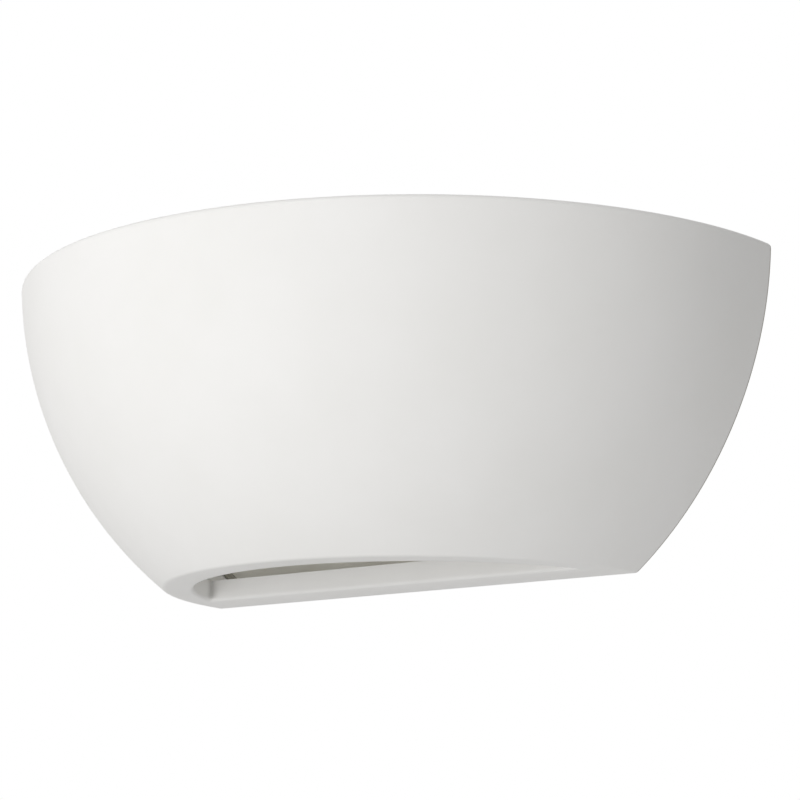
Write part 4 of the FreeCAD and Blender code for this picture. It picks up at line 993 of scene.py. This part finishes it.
    def build(self) -> None:
        """Cast the bowl: shell, slot, rounded edges, lugs and tab beds."""
        bowl = self.shell()
        combine(bowl, self.slot_tool(), Join.CUT)
        on_wall = bevel_where(bowl, both(lambda point: abs(point.y) < SLACK / 10),
                              self.rim_round, self.edge_steps)
        mouth = bevel_where(bowl, both(self.on_mouth), self.slot_round, self.edge_steps)
        log.info("bowl edges: %d on the wall, %d round the slot", on_wall, mouth)
        with editing(bowl):
            bpy.ops.mesh.remove_doubles(threshold=CUT_SLIVER)
            bpy.ops.mesh.dissolve_degenerate(threshold=CUT_SLIVER)
        combine(bowl, merge_pieces([self.bed_tool(-1.0), self.bed_tool(1.0)]), Join.CUT)
        lugs = []
        for side in (-1.0, 1.0):
            lug = self.ear(side)
            combine(lug, self.bed_tool(side), Join.CUT)
            lugs.append(lug)
        bowl = merge_pieces([bowl] + lugs)
        smooth(bowl, 25.0)
        finish_piece(bowl, "bowl", "plaster", GYPSUM, "plaster_bowl")


# ---------------------------------------------------------------- what holds the bowl

@dataclass
class Hanger:
    """Stud with its knurled nut at one end of the plate."""

    name: str
    across: float
    stud_radius: float = 2.0
    stud_pitch: float = 0.7
    thread_depth: float = 0.32
    stud_end: float = 19.5
    lead_length: float = 0.6
    lead_corner: Pair = (0.25, 0.45)
    lead_tip: float = 0.8
    plate_front: float = 1.5
    head_radius: float = 3.25
    head_ease: float = 0.15
    nut_base: float = 4.53
    collar_end: float = 7.0
    collar_ease: float = 0.2
    nut_end: float = 13.5
    bore: float = 2.1
    bore_ease: float = 0.35
    collar_radius: float = 4.5
    nut_radius: float = 6.0
    head_step: float = 0.75
    face_step: float = 0.9
    grip_margin: float = 0.7
    grip_sink: float = 0.35
    knurl_rows: int = 7
    knurl_columns: int = 44
    knurl_height: float = 0.33

    def stud(self) -> Piece:
        """Clinch head and threaded shank, with a pointed lead at the tip.

        Returns:
            The stud.
        """
        foot = (self.across, 0.0, 0.0)
        lead_start = self.stud_end - self.lead_length
        shank = threaded("stud_shank", Axis.OUT, foot, (self.plate_front, lead_start),
                         self.stud_radius, self.stud_pitch, self.thread_depth)
        head = turned("stud_head", Axis.OUT, foot, [
            (0.0, self.head_radius - self.head_ease), (self.head_ease, self.head_radius),
            (self.plate_front, self.head_radius)], 48)
        lead = turned("stud_lead", Axis.OUT, foot, [
            (lead_start, self.stud_radius - self.thread_depth),
            (self.stud_end - self.lead_corner[0], self.stud_radius - self.lead_corner[1]),
            (self.stud_end, self.stud_radius - self.lead_tip)], 32)
        return merge_pieces([shank, head, lead])

    def nut(self) -> Piece:
        """Knurled thumb nut: a plain collar, and a head raised into small pyramids.

        Returns:
            The nut.
        """
        start, end = self.collar_end + self.grip_margin, self.nut_end - self.grip_margin
        grip = self.nut_radius - self.grip_sink
        section = [
            (self.nut_base, self.bore + self.bore_ease),
            (self.nut_base, self.collar_radius - self.collar_ease),
            (self.nut_base + self.collar_ease, self.collar_radius),
            (self.collar_end, self.collar_radius),
            (self.collar_end, self.nut_radius - self.head_step)]
        section += [(start + (end - start) * row / self.knurl_rows, grip)
                    for row in range(self.knurl_rows + 1)]
        section += [
            (self.nut_end, self.nut_radius - self.face_step),
            (self.nut_end, self.bore + self.bore_ease),
            (self.nut_end - self.bore_ease, self.bore),
            (self.nut_base + self.bore_ease, self.bore)]
        nut = turned("knurled_thumb_nut_" + self.name, Axis.OUT, (self.across, 0.0, 0.0), section,
                     self.knurl_columns, bored=True)
        select_where(nut, Element.FACES, lambda centre, normal:
                     start < -centre.y < end
                     and math.hypot(centre.x - self.across, centre.z) > self.collar_radius)
        bpy.ops.mesh.poke(offset=self.knurl_height * MM)
        bpy.ops.object.mode_set(mode="OBJECT")
        smooth(nut, 20.0)
        return nut

    def build(self) -> None:
        """Make the stud and its nut."""
        finish_piece(self.stud(), "wall_unit", "zinc_steel", ZINC, "stud_" + self.name)
        finish_piece(self.nut(), "nut_" + self.name, "brass", BRASS, "knurled_nut_" + self.name)


# ---------------------------------------------------------------- plate fittings

@dataclass
class Screw:
    """Machine screw that stands out from the plate; crown runs from its head's side to its top."""

    across: float
    up: float
    seat: float
    tip: float
    shank: float
    head: float
    head_height: float
    slot_width: float
    slot_depth: float
    pitch: float = 0.7
    thread_share: float = 0.16
    edge_ease: float = 0.1
    crown: tuple[Pair, ...] = ((0.45, 1.0), (0.15, 0.9), (0.0, 0.68))
    recess_share: float = 0.58

    def build(self, name: str) -> Piece:
        """Threaded shank under a pan head with a cross recess.

        Args:
            name: the object's name.

        Returns:
            The screw.
        """
        foot = (self.across, 0.0, self.up)
        top = self.seat + self.head_height
        head = turned(name, Axis.OUT, foot, [
            (self.seat, self.head - self.edge_ease), (self.seat + self.edge_ease, self.head)] + [
            (top - down * self.head_height, self.head * share) for down, share in self.crown], 48)
        long, short = self.head * self.recess_share, self.slot_width / 2
        for half_x, half_z in ((long, short), (short, long)):
            tool = block("recess",
                         (self.across - half_x, -(top + OVERCUT), self.up - half_z),
                         (self.across + half_x, -(top - self.slot_depth), self.up + half_z))
            combine(head, tool, Join.CUT)
        smooth(head, 35.0)
        shank = threaded(name + "_shank", Axis.OUT, foot, (self.tip, self.seat), self.shank,
                         self.pitch, self.thread_share * self.shank, 20)
        return merge_pieces([head, shank])


@dataclass
class LightSeal:
    """Foam strip along the plate's lower edge: it closes the gap to the plaster, and its grey is
    painted shade in that gap.
    """

    outer_radius: float = 148.2
    inner_radius: float = 145.55
    centre_height: float = 52.0
    top: float = -26.0
    outer_bottom: float = -63.7
    inner_bottom: float = -61.05
    corner: float = 2.2
    corner_run: float = 2.4
    back: float = 0.3
    front: float = 3.2
    front_round: float = 0.5

    def edge(self, radius: float, bottom: float, corner: float) -> list[Pair]:
        """Right half of one side of the strip.

        Args:
            radius: radius of the side.
            bottom: height of its level part.
            corner: how far its lower corner is cut off.

        Returns:
            (across, height) from its top end to the level part.
        """
        start = math.degrees(math.asin((self.centre_height - self.top) / radius))
        end = math.degrees(math.asin((self.centre_height - bottom - corner) / radius))
        points = arc((0.0, self.centre_height), radius, -start, -end, 24)
        if corner > 0.0:
            points.append((points[-1][0] - self.corner_run * corner, bottom))
        return points

    def build(self) -> None:
        """Cut the strip out of foam sheet and soften its front edges."""
        outer = self.edge(self.outer_radius, self.outer_bottom, self.corner)
        inner = self.edge(self.inner_radius, self.inner_bottom, 0.0)
        outline = outer + [(-x, z) for x, z in reversed(outer)]
        outline += [(-x, z) for x, z in inner] + list(reversed(inner))
        strip = prism("light_seal", [(x, -self.back, z) for x, z in outline],
                      (0.0, self.back - self.front, 0.0))
        bevel_where(strip, both(lambda point: abs(point.y + self.front) < SLACK),
                    self.front_round, 2)
        # grey foam: painted shade in the gap between the plate and the plaster
        finish_piece(strip, "wall_unit", "grommet_rubber", SHADE_GREY_FOAM)


def toothed_washer(name: str, axis: Axis, foot: Place, stations: Pair, bore: float, outer: float,
                   teeth: int) -> Piece:
    """Shakeproof washer: a ring with notches cut between its teeth.

    Args:
        name: the object's name.
        axis: its axis.
        foot: where station 0 stands.
        stations: first and last station.
        bore: inner radius.
        outer: outer radius.
        teeth: number of teeth.

    Returns:
        The washer.
    """
    start, end = stations
    ease, rim = 0.1, outer - 0.05
    washer = turned(name, Axis.UP, (0.0, 0.0, 0.0), [
        (start, bore), (start + ease, rim), (end - ease, rim), (end, bore)], 6 * teeth,
        bored=True)
    root, half_notch = bore + 0.45 * (outer - bore), 0.09 * outer
    for number in range(teeth):
        notch = block("notch", (root, -half_notch, start - OVERCUT),
                      (outer + OVERCUT, half_notch, end + OVERCUT))
        pick(notch)
        notch.rotation_euler = (0.0, 0.0, 2 * math.pi * number / teeth)
        apply_place()
        combine(washer, notch, Join.CUT)
    smooth(washer, 30.0)
    set_in_place(washer, axis, foot)
    return washer


@dataclass
class PlateFittings:
    """Rivets, block screws, clamping screws and the earth screw."""

    rivet_x: float = -54.0
    rivet_heights: Pair = (-8.0, 8.0)
    rivet_tail: tuple[Pair, ...] = ((4.8, 1.6), (4.85, 2.1), (5.3, 2.3), (6.0, 2.25), (6.0, 1.6))
    rivet_dome: tuple[Pair, ...] = ((0.0, 1.6), (0.0, 2.95), (0.25, 3.0), (0.7, 2.6), (1.0, 1.9),
                                    (1.18, 0.9))
    foot_face: float = 9.5
    block_x: float = -14.0
    way_pitch: float = 10.0
    clamp_half_spacing: float = 4.5
    clamp_section: tuple[Pair, ...] = ((16.2, 1.1), (16.5, 1.45), (20.9, 1.45), (21.15, 1.2))
    clamp_slot: Place = (0.28, 20.3, 2.0)
    earth: Pair = (-60.0, 20.5)
    earth_washer: Pair = (8.3, 9.0)
    earth_ring: Pair = (2.15, 3.95)
    earth_teeth: int = 12

    def rivets(self) -> Piece:
        """Two domed rivets through the arm's foot.

        Returns:
            Both, as one object.
        """
        section = list(self.rivet_tail) + [(self.foot_face + out, radius)
                                           for out, radius in self.rivet_dome]
        return merge_pieces([turned("rivet", Axis.OUT, (self.rivet_x, 0.0, height), section, 40)
                             for height in self.rivet_heights])

    def block_screws(self) -> Piece:
        """Two cross-recess screws that hold the terminal block.

        Returns:
            Both, as one object.
        """
        return merge_pieces([
            Screw(self.block_x, side * self.way_pitch / 2, seat=17.6, tip=1.6, shank=1.45,
                  head=2.7, head_height=1.9, slot_width=0.75, slot_depth=1.1, pitch=0.9
                  ).build("block_screw") for side in (-1, 1)])

    def clamp_screws(self) -> Piece:
        """Six slotted grub screws in the terminal tubes.

        Returns:
            All six, as one object.
        """
        half_width, floor, half_length = self.clamp_slot
        made = []
        for way in (-1, 0, 1):
            for side in (-1, 1):
                x, z = self.block_x + side * self.clamp_half_spacing, way * self.way_pitch
                screw = turned("clamp_screw", Axis.OUT, (x, 0.0, z), list(self.clamp_section), 28)
                tool = block("slot", (x - half_width, -floor - 2 * OVERCUT, z - half_length),
                             (x + half_width, -floor, z + half_length))
                combine(screw, tool, Join.CUT)
                made.append(screw)
        return merge_pieces(made)

    def build(self) -> None:
        """Make every fastener of the plate: the earth point has a pan head and a toothed washer."""
        across, up = self.earth
        for made, node in (
                (self.rivets(), "arm_rivets"), (self.block_screws(), "block_screws"),
                (self.clamp_screws(), "terminal_screws"),
                (Screw(across, up, seat=self.earth_washer[1], tip=1.9, shank=2.0, head=4.0,
                       head_height=2.6, slot_width=1.0, slot_depth=1.3).build("earth_pan_screw"),
                 "earth_screw"),
                (toothed_washer("earth_toothed_washer", Axis.OUT, (across, 0.0, up),
                                self.earth_washer, *self.earth_ring, self.earth_teeth),
                 "earth_washer")):
            finish_piece(made, "wall_unit", "zinc_steel", ZINC, node)


# ---------------------------------------------------------------- lampholder

@dataclass
class Lampholder:
    """Screw lampholder on its nipple; stations count from the arm's face towards the lamp."""

    radius: float = 19.5
    dome_length: float = 24.0
    dome_lip: float = 4.0
    dome_round: float = 13.0
    bead: tuple[Pair, ...] = ((1.1, 0.0), (0.9, 0.35), (0.5, 0.35), (0.35, 0.0), (0.0, 0.0))
    boss: float = 9.0
    boss_ease: float = 0.4
    bore: float = 5.2
    bore_ease: float = 0.25
    wall: float = 2.0
    skirt_end: float = 54.0
    skirt_tip: float = 18.6
    skirt_bore: float = 15.0
    skirt_seat: float = 17.1
    skirt_ease: Pair = (0.3, 0.2)
    lip_start: float = 0.8
    lip: tuple[Pair, ...] = ((0.2, 0.25), (0.0, 0.9))
    mouth_ease: float = 0.5
    grip_margins: Pair = (4.0, 6.0)
    ribs: int = 36
    groove_border: float = 0.12
    groove_depth: float = 0.4
    shell_start: float = 26.0
    shell_end: float = 52.0
    shell_radius: float = 14.25
    shell_sheet: float = 0.45
    shell_eye: float = 9.0
    thread_depth: float = 0.75
    nipple_reach: Pair = (-9.0, 7.0)
    nipple_radius: float = 5.0
    nipple_bore: float = 4.0
    nipple_pitch: float = 1.0
    nipple_depth: float = 0.45
    nut_stations: Pair = (-6.0, -3.0)
    nut_flats: float = 14.0
    nut_bore: float = 5.05
    nut_chamfer: float = 0.45
    nut_dish: float = 0.1
    washer_stations: Pair = (-3.0, -2.0)
    washer_radius: float = 8.0
    washer_teeth: int = 14

    def dome(self) -> Piece:
        """Moulded dome with a fine bead where it meets the skirt.

        Returns:
            The dome.
        """
        shoulder = self.dome_length - self.dome_lip
        centre = (shoulder, self.radius - self.dome_round)
        begin = 180.0 - math.degrees(math.asin((self.boss - centre[1]) / self.dome_round))
        section = [(self.bore_ease, self.bore), (0.0, self.bore + self.bore_ease),
                   (0.0, self.boss - self.boss_ease), (self.boss_ease, self.boss)]
        section += arc(centre, self.dome_round, begin, 90.0, 16)
        section += [(self.dome_length - back, self.radius - sink) for back, sink in self.bead]
        section += [(self.dome_length, self.radius - self.wall),
                    (shoulder, self.radius - self.wall)]
        inner = self.dome_round - self.wall
        section += arc(centre, inner, 90.0, 180.0, 12)[1:]
        section.append((shoulder - inner, self.bore))
        return turned("lampholder_dome", Axis.ALONG, LAMP_SEAT, section, 96, bored=True)

    def skirt(self) -> Piece:
        """Skirt with shallow grip ribs between two plain bands.

        Returns:
            The skirt.
        """
        start = self.dome_length + self.grip_margins[0]
        end = self.skirt_end - self.grip_margins[1]
        slope = (self.radius - self.skirt_tip) / (self.skirt_end - self.dome_length)

        def outside(station: float) -> float:
            """Radius of the skirt at a station."""
            return self.radius - slope * (station - self.dome_length)

        section = [
            (self.dome_length, self.skirt_seat),
            (self.dome_length, self.radius - self.skirt_ease[1]),
            (self.dome_length + self.skirt_ease[0], self.radius)]
        section += [(station, outside(station))
                    for station in (start, end, self.skirt_end - self.lip_start)]
        section += [(self.skirt_end - back, outside(self.skirt_end) - sink)
                    for back, sink in self.lip]
        section += [
            (self.skirt_end, self.skirt_bore + self.mouth_ease),
            (self.skirt_end - self.mouth_ease, self.skirt_bore),
            (self.shell_start, self.skirt_bore), (self.shell_start, self.skirt_seat)]
        skirt = turned("lampholder_skirt", Axis.ALONG, LAMP_SEAT, section, 6 * self.ribs,
                       bored=True)
        middle = LAMP_SEAT[0] + (start + end) / 2

        def in_groove(centre: Vector, normal: Vector) -> bool:
            """Pick the faces of the grip that lie between two ribs.

            Args:
                centre: a face's centre in millimetres.
                normal: which way it faces, not needed here.

            Returns:
                Whether the face lies in a groove.
            """
            across = centre.y - LAMP_SEAT[1]
            turn = math.atan2(centre.z, across) / (2 * math.pi) * self.ribs
            outside_seat = math.hypot(across, centre.z) > self.skirt_seat
            return outside_seat and abs(centre.x - middle) < SLACK and turn % 1.0 > 0.5

        select_where(skirt, Element.FACES, in_groove)
        bpy.ops.mesh.inset(thickness=self.groove_border * MM, depth=-self.groove_depth * MM,
                           use_boundary=True, use_even_offset=True)
        bpy.ops.object.mode_set(mode="OBJECT")
        smooth(skirt, 22.0)
        return skirt

    def rolled_shell(self) -> Piece:
        """Screw shell rolled from brass strip, with the lamp's round thread.

        Returns:
            The shell.
        """
        shell, hollow = (
            threaded(name, Axis.ALONG, LAMP_SEAT, reach, radius, LAMP_PITCH, self.thread_depth,
                     LAMP_STEPS, round_crests=True)
            for name, reach, radius in (
                ("screw_shell_rolled", (self.shell_start, self.shell_end), self.shell_radius),
                ("shell_hollow", (self.shell_start + 0.6, self.shell_end + 2 * OVERCUT),
                 self.shell_radius - self.shell_sheet)))
        combine(shell, hollow, Join.CUT)
        eye = turned("shell_eye", Axis.ALONG, LAMP_SEAT, [
            (self.shell_start - OVERCUT, self.shell_eye),
            (self.shell_start + 2 * OVERCUT, self.shell_eye)], 48)
        combine(shell, eye, Join.CUT)
        smooth(shell, 40.0)
        return shell

    def nipple(self) -> Piece:
        """Threaded tube through the arm.

        Returns:
            The tube.
        """
        tube = threaded("threaded_nipple", Axis.ALONG, LAMP_SEAT, self.nipple_reach,
                        self.nipple_radius, self.nipple_pitch, self.nipple_depth, 32)
        bore = turned("nipple_bore", Axis.ALONG, LAMP_SEAT, [
            (self.nipple_reach[0] - OVERCUT, self.nipple_bore),
            (self.nipple_reach[1] + OVERCUT, self.nipple_bore)], 48)
        combine(tube, bore, Join.CUT)
        smooth(tube, 35.0)
        return tube

    def locknut(self) -> Piece:
        """Thin hexagon nut with chamfered corners.

        Returns:
            The nut.
        """
        start, end = self.nut_stations
        flat, corner = self.nut_flats / 2 - self.nut_dish, self.nut_flats / math.sqrt(3)
        nut = turned("chamfered_locknut", Axis.ALONG, LAMP_SEAT, [
            (start, self.nut_bore), (start, flat), (start + self.nut_chamfer, corner),
            (end - self.nut_chamfer, corner), (end, flat), (end, self.nut_bore)], 96, bored=True)
        deselect_all()
        bpy.ops.mesh.primitive_cylinder_add(
            vertices=6, radius=corner * MM, depth=(end - start + 2 * OVERCUT) * MM)
        blank = bpy.context.object
        blank.rotation_euler = (0.0, 0.0, math.radians(30.0))
        apply_place()
        set_in_place(blank, Axis.ALONG, (LAMP_SEAT[0] + (start + end) / 2, *LAMP_SEAT[1:]))
        combine(nut, blank, Join.KEEP_COMMON)
        smooth(nut, 20.0)
        return nut

    def build(self) -> None:
        """Make the holder and what fixes it to the arm."""
        for made, slot, finish, node in (
                (self.dome(), "holder_plastic", HOLDER_WHITE, "holder_dome"),
                (self.skirt(), "holder_plastic", HOLDER_WHITE, "holder_skirt"),
                (self.rolled_shell(), "brass", BRASS, "screw_shell"),
                (self.nipple(), "zinc_steel", ZINC, "holder_nipple"),
                (self.locknut(), "zinc_steel", ZINC, "locknut"),
                (toothed_washer("nipple_toothed_washer", Axis.ALONG, LAMP_SEAT,
                                self.washer_stations, self.bore, self.washer_radius,
                                self.washer_teeth), "zinc_steel", ZINC, "lock_washer")):
            finish_piece(made, "wall_unit", slot, finish, node)


# ---------------------------------------------------------------- lamp

@dataclass
class Lamp:
    """Plain lamp with a screw cap; stations count from the lampholder's seat."""

    cap_start: float = 35.0
    cap_end: float = 56.0
    cap_radius: float = 13.0
    thread_depth: float = 0.7
    thread_margins: Pair = (2.2, 3.2)
    nose: tuple[Pair, ...] = ((0.0, 11.0), (1.2, 11.9), (2.4, 12.35))
    rim: tuple[Pair, ...] = ((3.5, 12.3), (3.0, 12.9), (0.3, 12.95), (0.0, 12.8))
    collar_start_radius: float = 14.0
    collar_radius: float = 24.8
    collar_foot: tuple[Pair, ...] = ((50.0, 10.8), (50.0, 12.3))
    collar_ease: float = 0.4
    flare_end: float = 82.0
    collar_end: float = 87.0
    groove: tuple[Pair, ...] = ((0.8, 0.0), (1.0, 0.4), (1.5, 0.4), (1.7, 0.0))
    lip_ease: Pair = (0.6, 0.5)
    cup_radius: float = 23.2
    cup_eye: float = 15.0
    cup_wall: float = 1.5
    cup_neck: float = 21.8
    globe_radius: float = 30.0
    globe_neck_radius: float = 23.1
    globe_neck_start: float = 83.6
    globe_neck: float = 3.6
    globe_wall: float = 1.5
    neck_turn: float = 0.4

    def cap(self) -> Piece:
        """Screw cap of rolled aluminium: its nose, its thread and the rim round the collar.

        Returns:
            The cap.
        """
        reach = (self.cap_start + self.thread_margins[0], self.cap_end - self.thread_margins[1])
        thread = threaded("lamp_screw_cap", Axis.ALONG, LAMP_SEAT, reach, self.cap_radius,
                          LAMP_PITCH, self.thread_depth, LAMP_STEPS, round_crests=True)
        nose = turned("cap_nose", Axis.ALONG, LAMP_SEAT, [
            (self.cap_start + on, radius) for on, radius in self.nose])
        rim = turned("cap_rim", Axis.ALONG, LAMP_SEAT, [
            (self.cap_end - back, radius) for back, radius in self.rim])
        return merge_pieces([thread, nose, rim])

    def flare(self) -> list[Pair]:
        """Outside of the collar from the cap to its straight lip.

        Returns:
            (station, radius) points on one arc that leaves the cap nearly level.
        """
        rise = self.collar_radius - self.collar_start_radius
        length = self.flare_end - self.cap_end
        reach = (length ** 2 + rise ** 2) / (2 * rise) + length
        chord = math.hypot(length, rise)
        depth = math.sqrt(reach ** 2 - (chord / 2) ** 2)
        centre = ((self.cap_end + self.flare_end) / 2 + rise / chord * depth,
                  (self.collar_start_radius + self.collar_radius) / 2 - length / chord * depth)
        first, last = (
            math.degrees(math.atan2(radius - centre[1], station - centre[0]))
            for station, radius in ((self.cap_end, self.collar_start_radius),
                                    (self.flare_end, self.collar_radius)))
        return arc(centre, reach, first, last, 24)

    def collar(self) -> Piece:
        """Flared collar with a fine groove below its lip.

        Returns:
            The collar.
        """
        section = list(self.collar_foot) + [
            (self.cap_end, self.collar_foot[-1][1]),
            (self.cap_end, self.collar_start_radius - self.collar_ease)]
        section += self.flare()
        section += [(self.flare_end + on, self.collar_radius - sink) for on, sink in self.groove]
        section += [
            (self.collar_end - self.lip_ease[0], self.collar_radius),
            (self.collar_end, self.collar_radius - self.lip_ease[1]),
            (self.collar_end, self.cup_radius), (self.flare_end, self.cup_radius),
            (self.flare_end, self.cup_eye), (self.flare_end - self.cup_wall, self.cup_eye),
            (self.flare_end - self.cup_wall, self.cup_neck),
            (self.cap_end + self.cup_wall, self.collar_foot[0][1])]
        return turned("lamp_flared_collar", Axis.ALONG, LAMP_SEAT, section, 128, bored=True)

    def globe(self) -> Piece:
        """Opal globe blown over its neck, open towards the board.

        Returns:
            The globe.
        """
        neck_end = self.globe_neck_start + self.globe_neck
        centre = (neck_end + math.sqrt(self.globe_radius ** 2 - self.globe_neck_radius ** 2), 0.0)
        inner = self.globe_radius - self.globe_wall
        inner_neck = self.globe_neck_radius - self.globe_wall
        outer_angle, inner_angle = (
            180.0 - math.degrees(math.asin(neck / radius))
            for neck, radius in ((self.globe_neck_radius, self.globe_radius),
                                 (inner_neck, inner)))
        section = [(self.globe_neck_start, self.globe_neck_radius),
                   (neck_end - self.neck_turn, self.globe_neck_radius)]
        section += arc(centre, self.globe_radius, outer_angle, 0.0, 64)[1:]
        section += arc(centre, inner, 0.0, inner_angle, 64)
        section.append((self.globe_neck_start, inner_neck))
        return turned("lamp_opal_globe", Axis.ALONG, LAMP_SEAT, section, 128, bored=True)

    def build(self) -> None:
        """Make the parts of the lamp that show."""
        finish_piece(self.cap(), "lamp", "cap_metal", CAP_ALUMINIUM, "lamp_cap")
        finish_piece(self.collar(), "lamp", "lamp_plastic", LAMP_WHITE, "lamp_collar")
        finish_piece(self.globe(), "lamp", "lamp_diffuser", OPAL, "lamp_globe")


# ---------------------------------------------------------------- studio

def direction(azimuth: float, elevation: float) -> Vector:
    """Direction out into the room.

    Args:
        azimuth: degrees from straight in front, positive to the right.
        elevation: degrees above level.

    Returns:
        A vector of length 1.
    """
    turn, tilt = math.radians(azimuth), math.radians(elevation)
    return Vector((math.sin(turn) * math.cos(tilt), -math.cos(turn) * math.cos(tilt),
                   math.sin(tilt)))


@dataclass(frozen=True)
class SoftLight:
    """Soft light that looks at the object: angles in degrees, lengths in metres, power in watts."""

    name: str
    azimuth: float
    elevation: float
    width: float
    height: float
    power: float
    distance: float = 2.0
    aim: Place = (0.0, -0.05, -0.01)

    def build(self) -> None:
        """Hang the light."""
        data = bpy.data.lights.new(self.name, "AREA")
        data.shape = "RECTANGLE"
        data.size = self.width
        data.size_y = self.height
        data.energy = self.power
        light = bpy.data.objects.new(self.name, data)
        bpy.context.scene.collection.objects.link(light)
        way = direction(self.azimuth, self.elevation)
        light.location = Vector(self.aim) + way * self.distance
        light.rotation_euler = way.to_track_quat("Z", "Y").to_euler()


@dataclass
class Studio:
    """Floor, lights, world and the camera that took the picture.

    One broad key light stands in front, a weak one low down for the slot and one for the rim.
    """

    lens: float = 117.8
    sensor: float = 36.0
    shift: Pair = (0.0503, 0.0381)
    azimuth: float = 36.91
    elevation: float = -10.82
    roll: float = 0.45
    distance: float = 1019.8
    target: Place = (0.0, -40.0, -13.3)
    floor_height: float = -1600.0
    floor_size: float = 8.0
    floor_colour: str = "#F4F4F4"
    floor_roughness: float = 0.9
    floor_lift: float = 0.56
    ambient: float = 0.468
    lamps: tuple[SoftLight, ...] = (
        SoftLight("key", -5.5, 6.0, 0.3, 2.2, 19.2),
        SoftLight("under", 8.0, -32.0, 1.2, 1.2, 5.2),
        SoftLight("top", -10.0, 68.0, 1.0, 1.0, 1.6))

    def build(self) -> None:
        """Set up everything that is not part of the object."""
        self.camera()
        self.world()
        for lamp in self.lamps:
            lamp.build()
        self.floor()
        bpy.context.scene.view_settings.view_transform = "Standard"

    def camera(self) -> None:
        """Place the camera to the object's right and a little below it."""
        back = direction(self.azimuth, self.elevation)
        right = direction(self.azimuth + 90.0, 0.0)
        up = back.cross(right)
        lean = math.radians(self.roll)
        data = bpy.data.cameras.new("camera")
        data.lens = self.lens
        data.sensor_width = self.sensor
        data.shift_x, data.shift_y = self.shift
        data.clip_start = 0.01
        camera = bpy.data.objects.new("camera", data)
        bpy.context.scene.collection.objects.link(camera)
        pose = Matrix((right * math.cos(lean) + up * math.sin(lean),
                       up * math.cos(lean) - right * math.sin(lean), back)).transposed().to_4x4()
        pose.translation = (Vector(self.target) + back * self.distance) * MM
        camera.matrix_world = pose
        bpy.context.scene.camera = camera

    def seen_directly(self, tree: Tree) -> Socket:
        """Socket that is 1 for rays of the picture, mirrored or not, and 0 for light on things.

        Args:
            tree: the node tree of the world or the floor.

        Returns:
            The socket.
        """
        path = add_node(tree, "ShaderNodeLightPath")
        seen = path.outputs["Is Camera Ray"]
        for ray in ("Is Glossy Ray", "Is Transmission Ray"):
            seen = add_node(tree, "ShaderNodeMath", {"operation": "MAXIMUM"},
                            {0: seen, 1: path.outputs[ray]}).outputs["Value"]
        return seen

    def world(self) -> None:
        """Even pale light all round, and plain white behind the object."""
        world = bpy.data.worlds.new("studio")
        world.use_nodes = True
        bpy.context.scene.world = world
        tree = world.node_tree
        tree.nodes.clear()
        ambient, backdrop = (
            add_node(tree, "ShaderNodeBackground",
                     {"Color": (1.0, 1.0, 1.0, 1.0), "Strength": strength}).outputs["Background"]
            for strength in (self.ambient, 1.0))
        mix = add_node(tree, "ShaderNodeMixShader", None,
                       {0: self.seen_directly(tree), 1: ambient, 2: backdrop})
        add_node(tree, "ShaderNodeOutputWorld", None, {"Surface": mix.outputs["Shader"]})

    def floor(self) -> None:
        """Pale floor far below, white to the camera except where the object's shadow falls."""
        deselect_all()
        bpy.ops.mesh.primitive_plane_add(size=self.floor_size,
                                         location=(0, 0, self.floor_height * MM))
        ground = bpy.context.object
        ground.name = "studio_floor"
        material = bpy.data.materials.new("studio_floor")
        material.use_nodes = True
        tree = material.node_tree
        shader = tree.nodes["Principled BSDF"]
        shader.inputs["Base Color"].default_value = linear(self.floor_colour)
        shader.inputs["Roughness"].default_value = self.floor_roughness
        shader.inputs["Emission Color"].default_value = (1.0, 1.0, 1.0, 1.0)
        lift = add_node(tree, "ShaderNodeMath", {"operation": "MULTIPLY", 1: self.floor_lift},
                        {0: self.seen_directly(tree)}).outputs["Value"]
        tree.links.new(lift, shader.inputs["Emission Strength"])
        ground.data.materials.append(material)


def dress_cad() -> None:
    """Finishes of the CAD nodes whose own shapes stay."""
    for finish, *nodes in (
            (POWDER, "back_plate", "lamp_arm"),
            (ZINC_SHEET, "hanger_tab_left", "hanger_tab_right", "washer_left", "washer_right"),
            (ZINC, "earth_nut", "holder_terminal_screws"),
            (BRASS, "terminal_tubes", "holder_terminals"), (CONTACT, "centre_contact", "lamp_tip"),
            (TINNED, "earth_tag"), (RUBBER, "cable_grommet"),
            (NYLON, "terminal_block", "wire_bush"), (STEATITE, "holder_insert"),
            (VITRITE, "lamp_insulator"), (LAMINATE, "driver_board"), (SOLDER_MASK, "led_board"),
            (PHOSPHOR, "led_chips"), (BROWN_PVC, "live_wire"), (BLUE_PVC, "neutral_wire"),
            (EARTH_PVC, "earth_wire")):
        for node in nodes:
            dress(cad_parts[node], finish)
            log.info("node %s: %s", node, finish.name)


def main() -> None:
    """Build the scene in order."""
    logging.basicConfig(level=logging.INFO, format="%(name)s: %(message)s")
    Studio().build()
    PlasterBowl().build()
    for name, across in (("left", -117.0), ("right", 117.0)):
        Hanger(name, across).build()
    PlateFittings().build()
    LightSeal().build()
    Lampholder().build()
    Lamp().build()
    dress_cad()


if __name__ == "__main__":
    main()
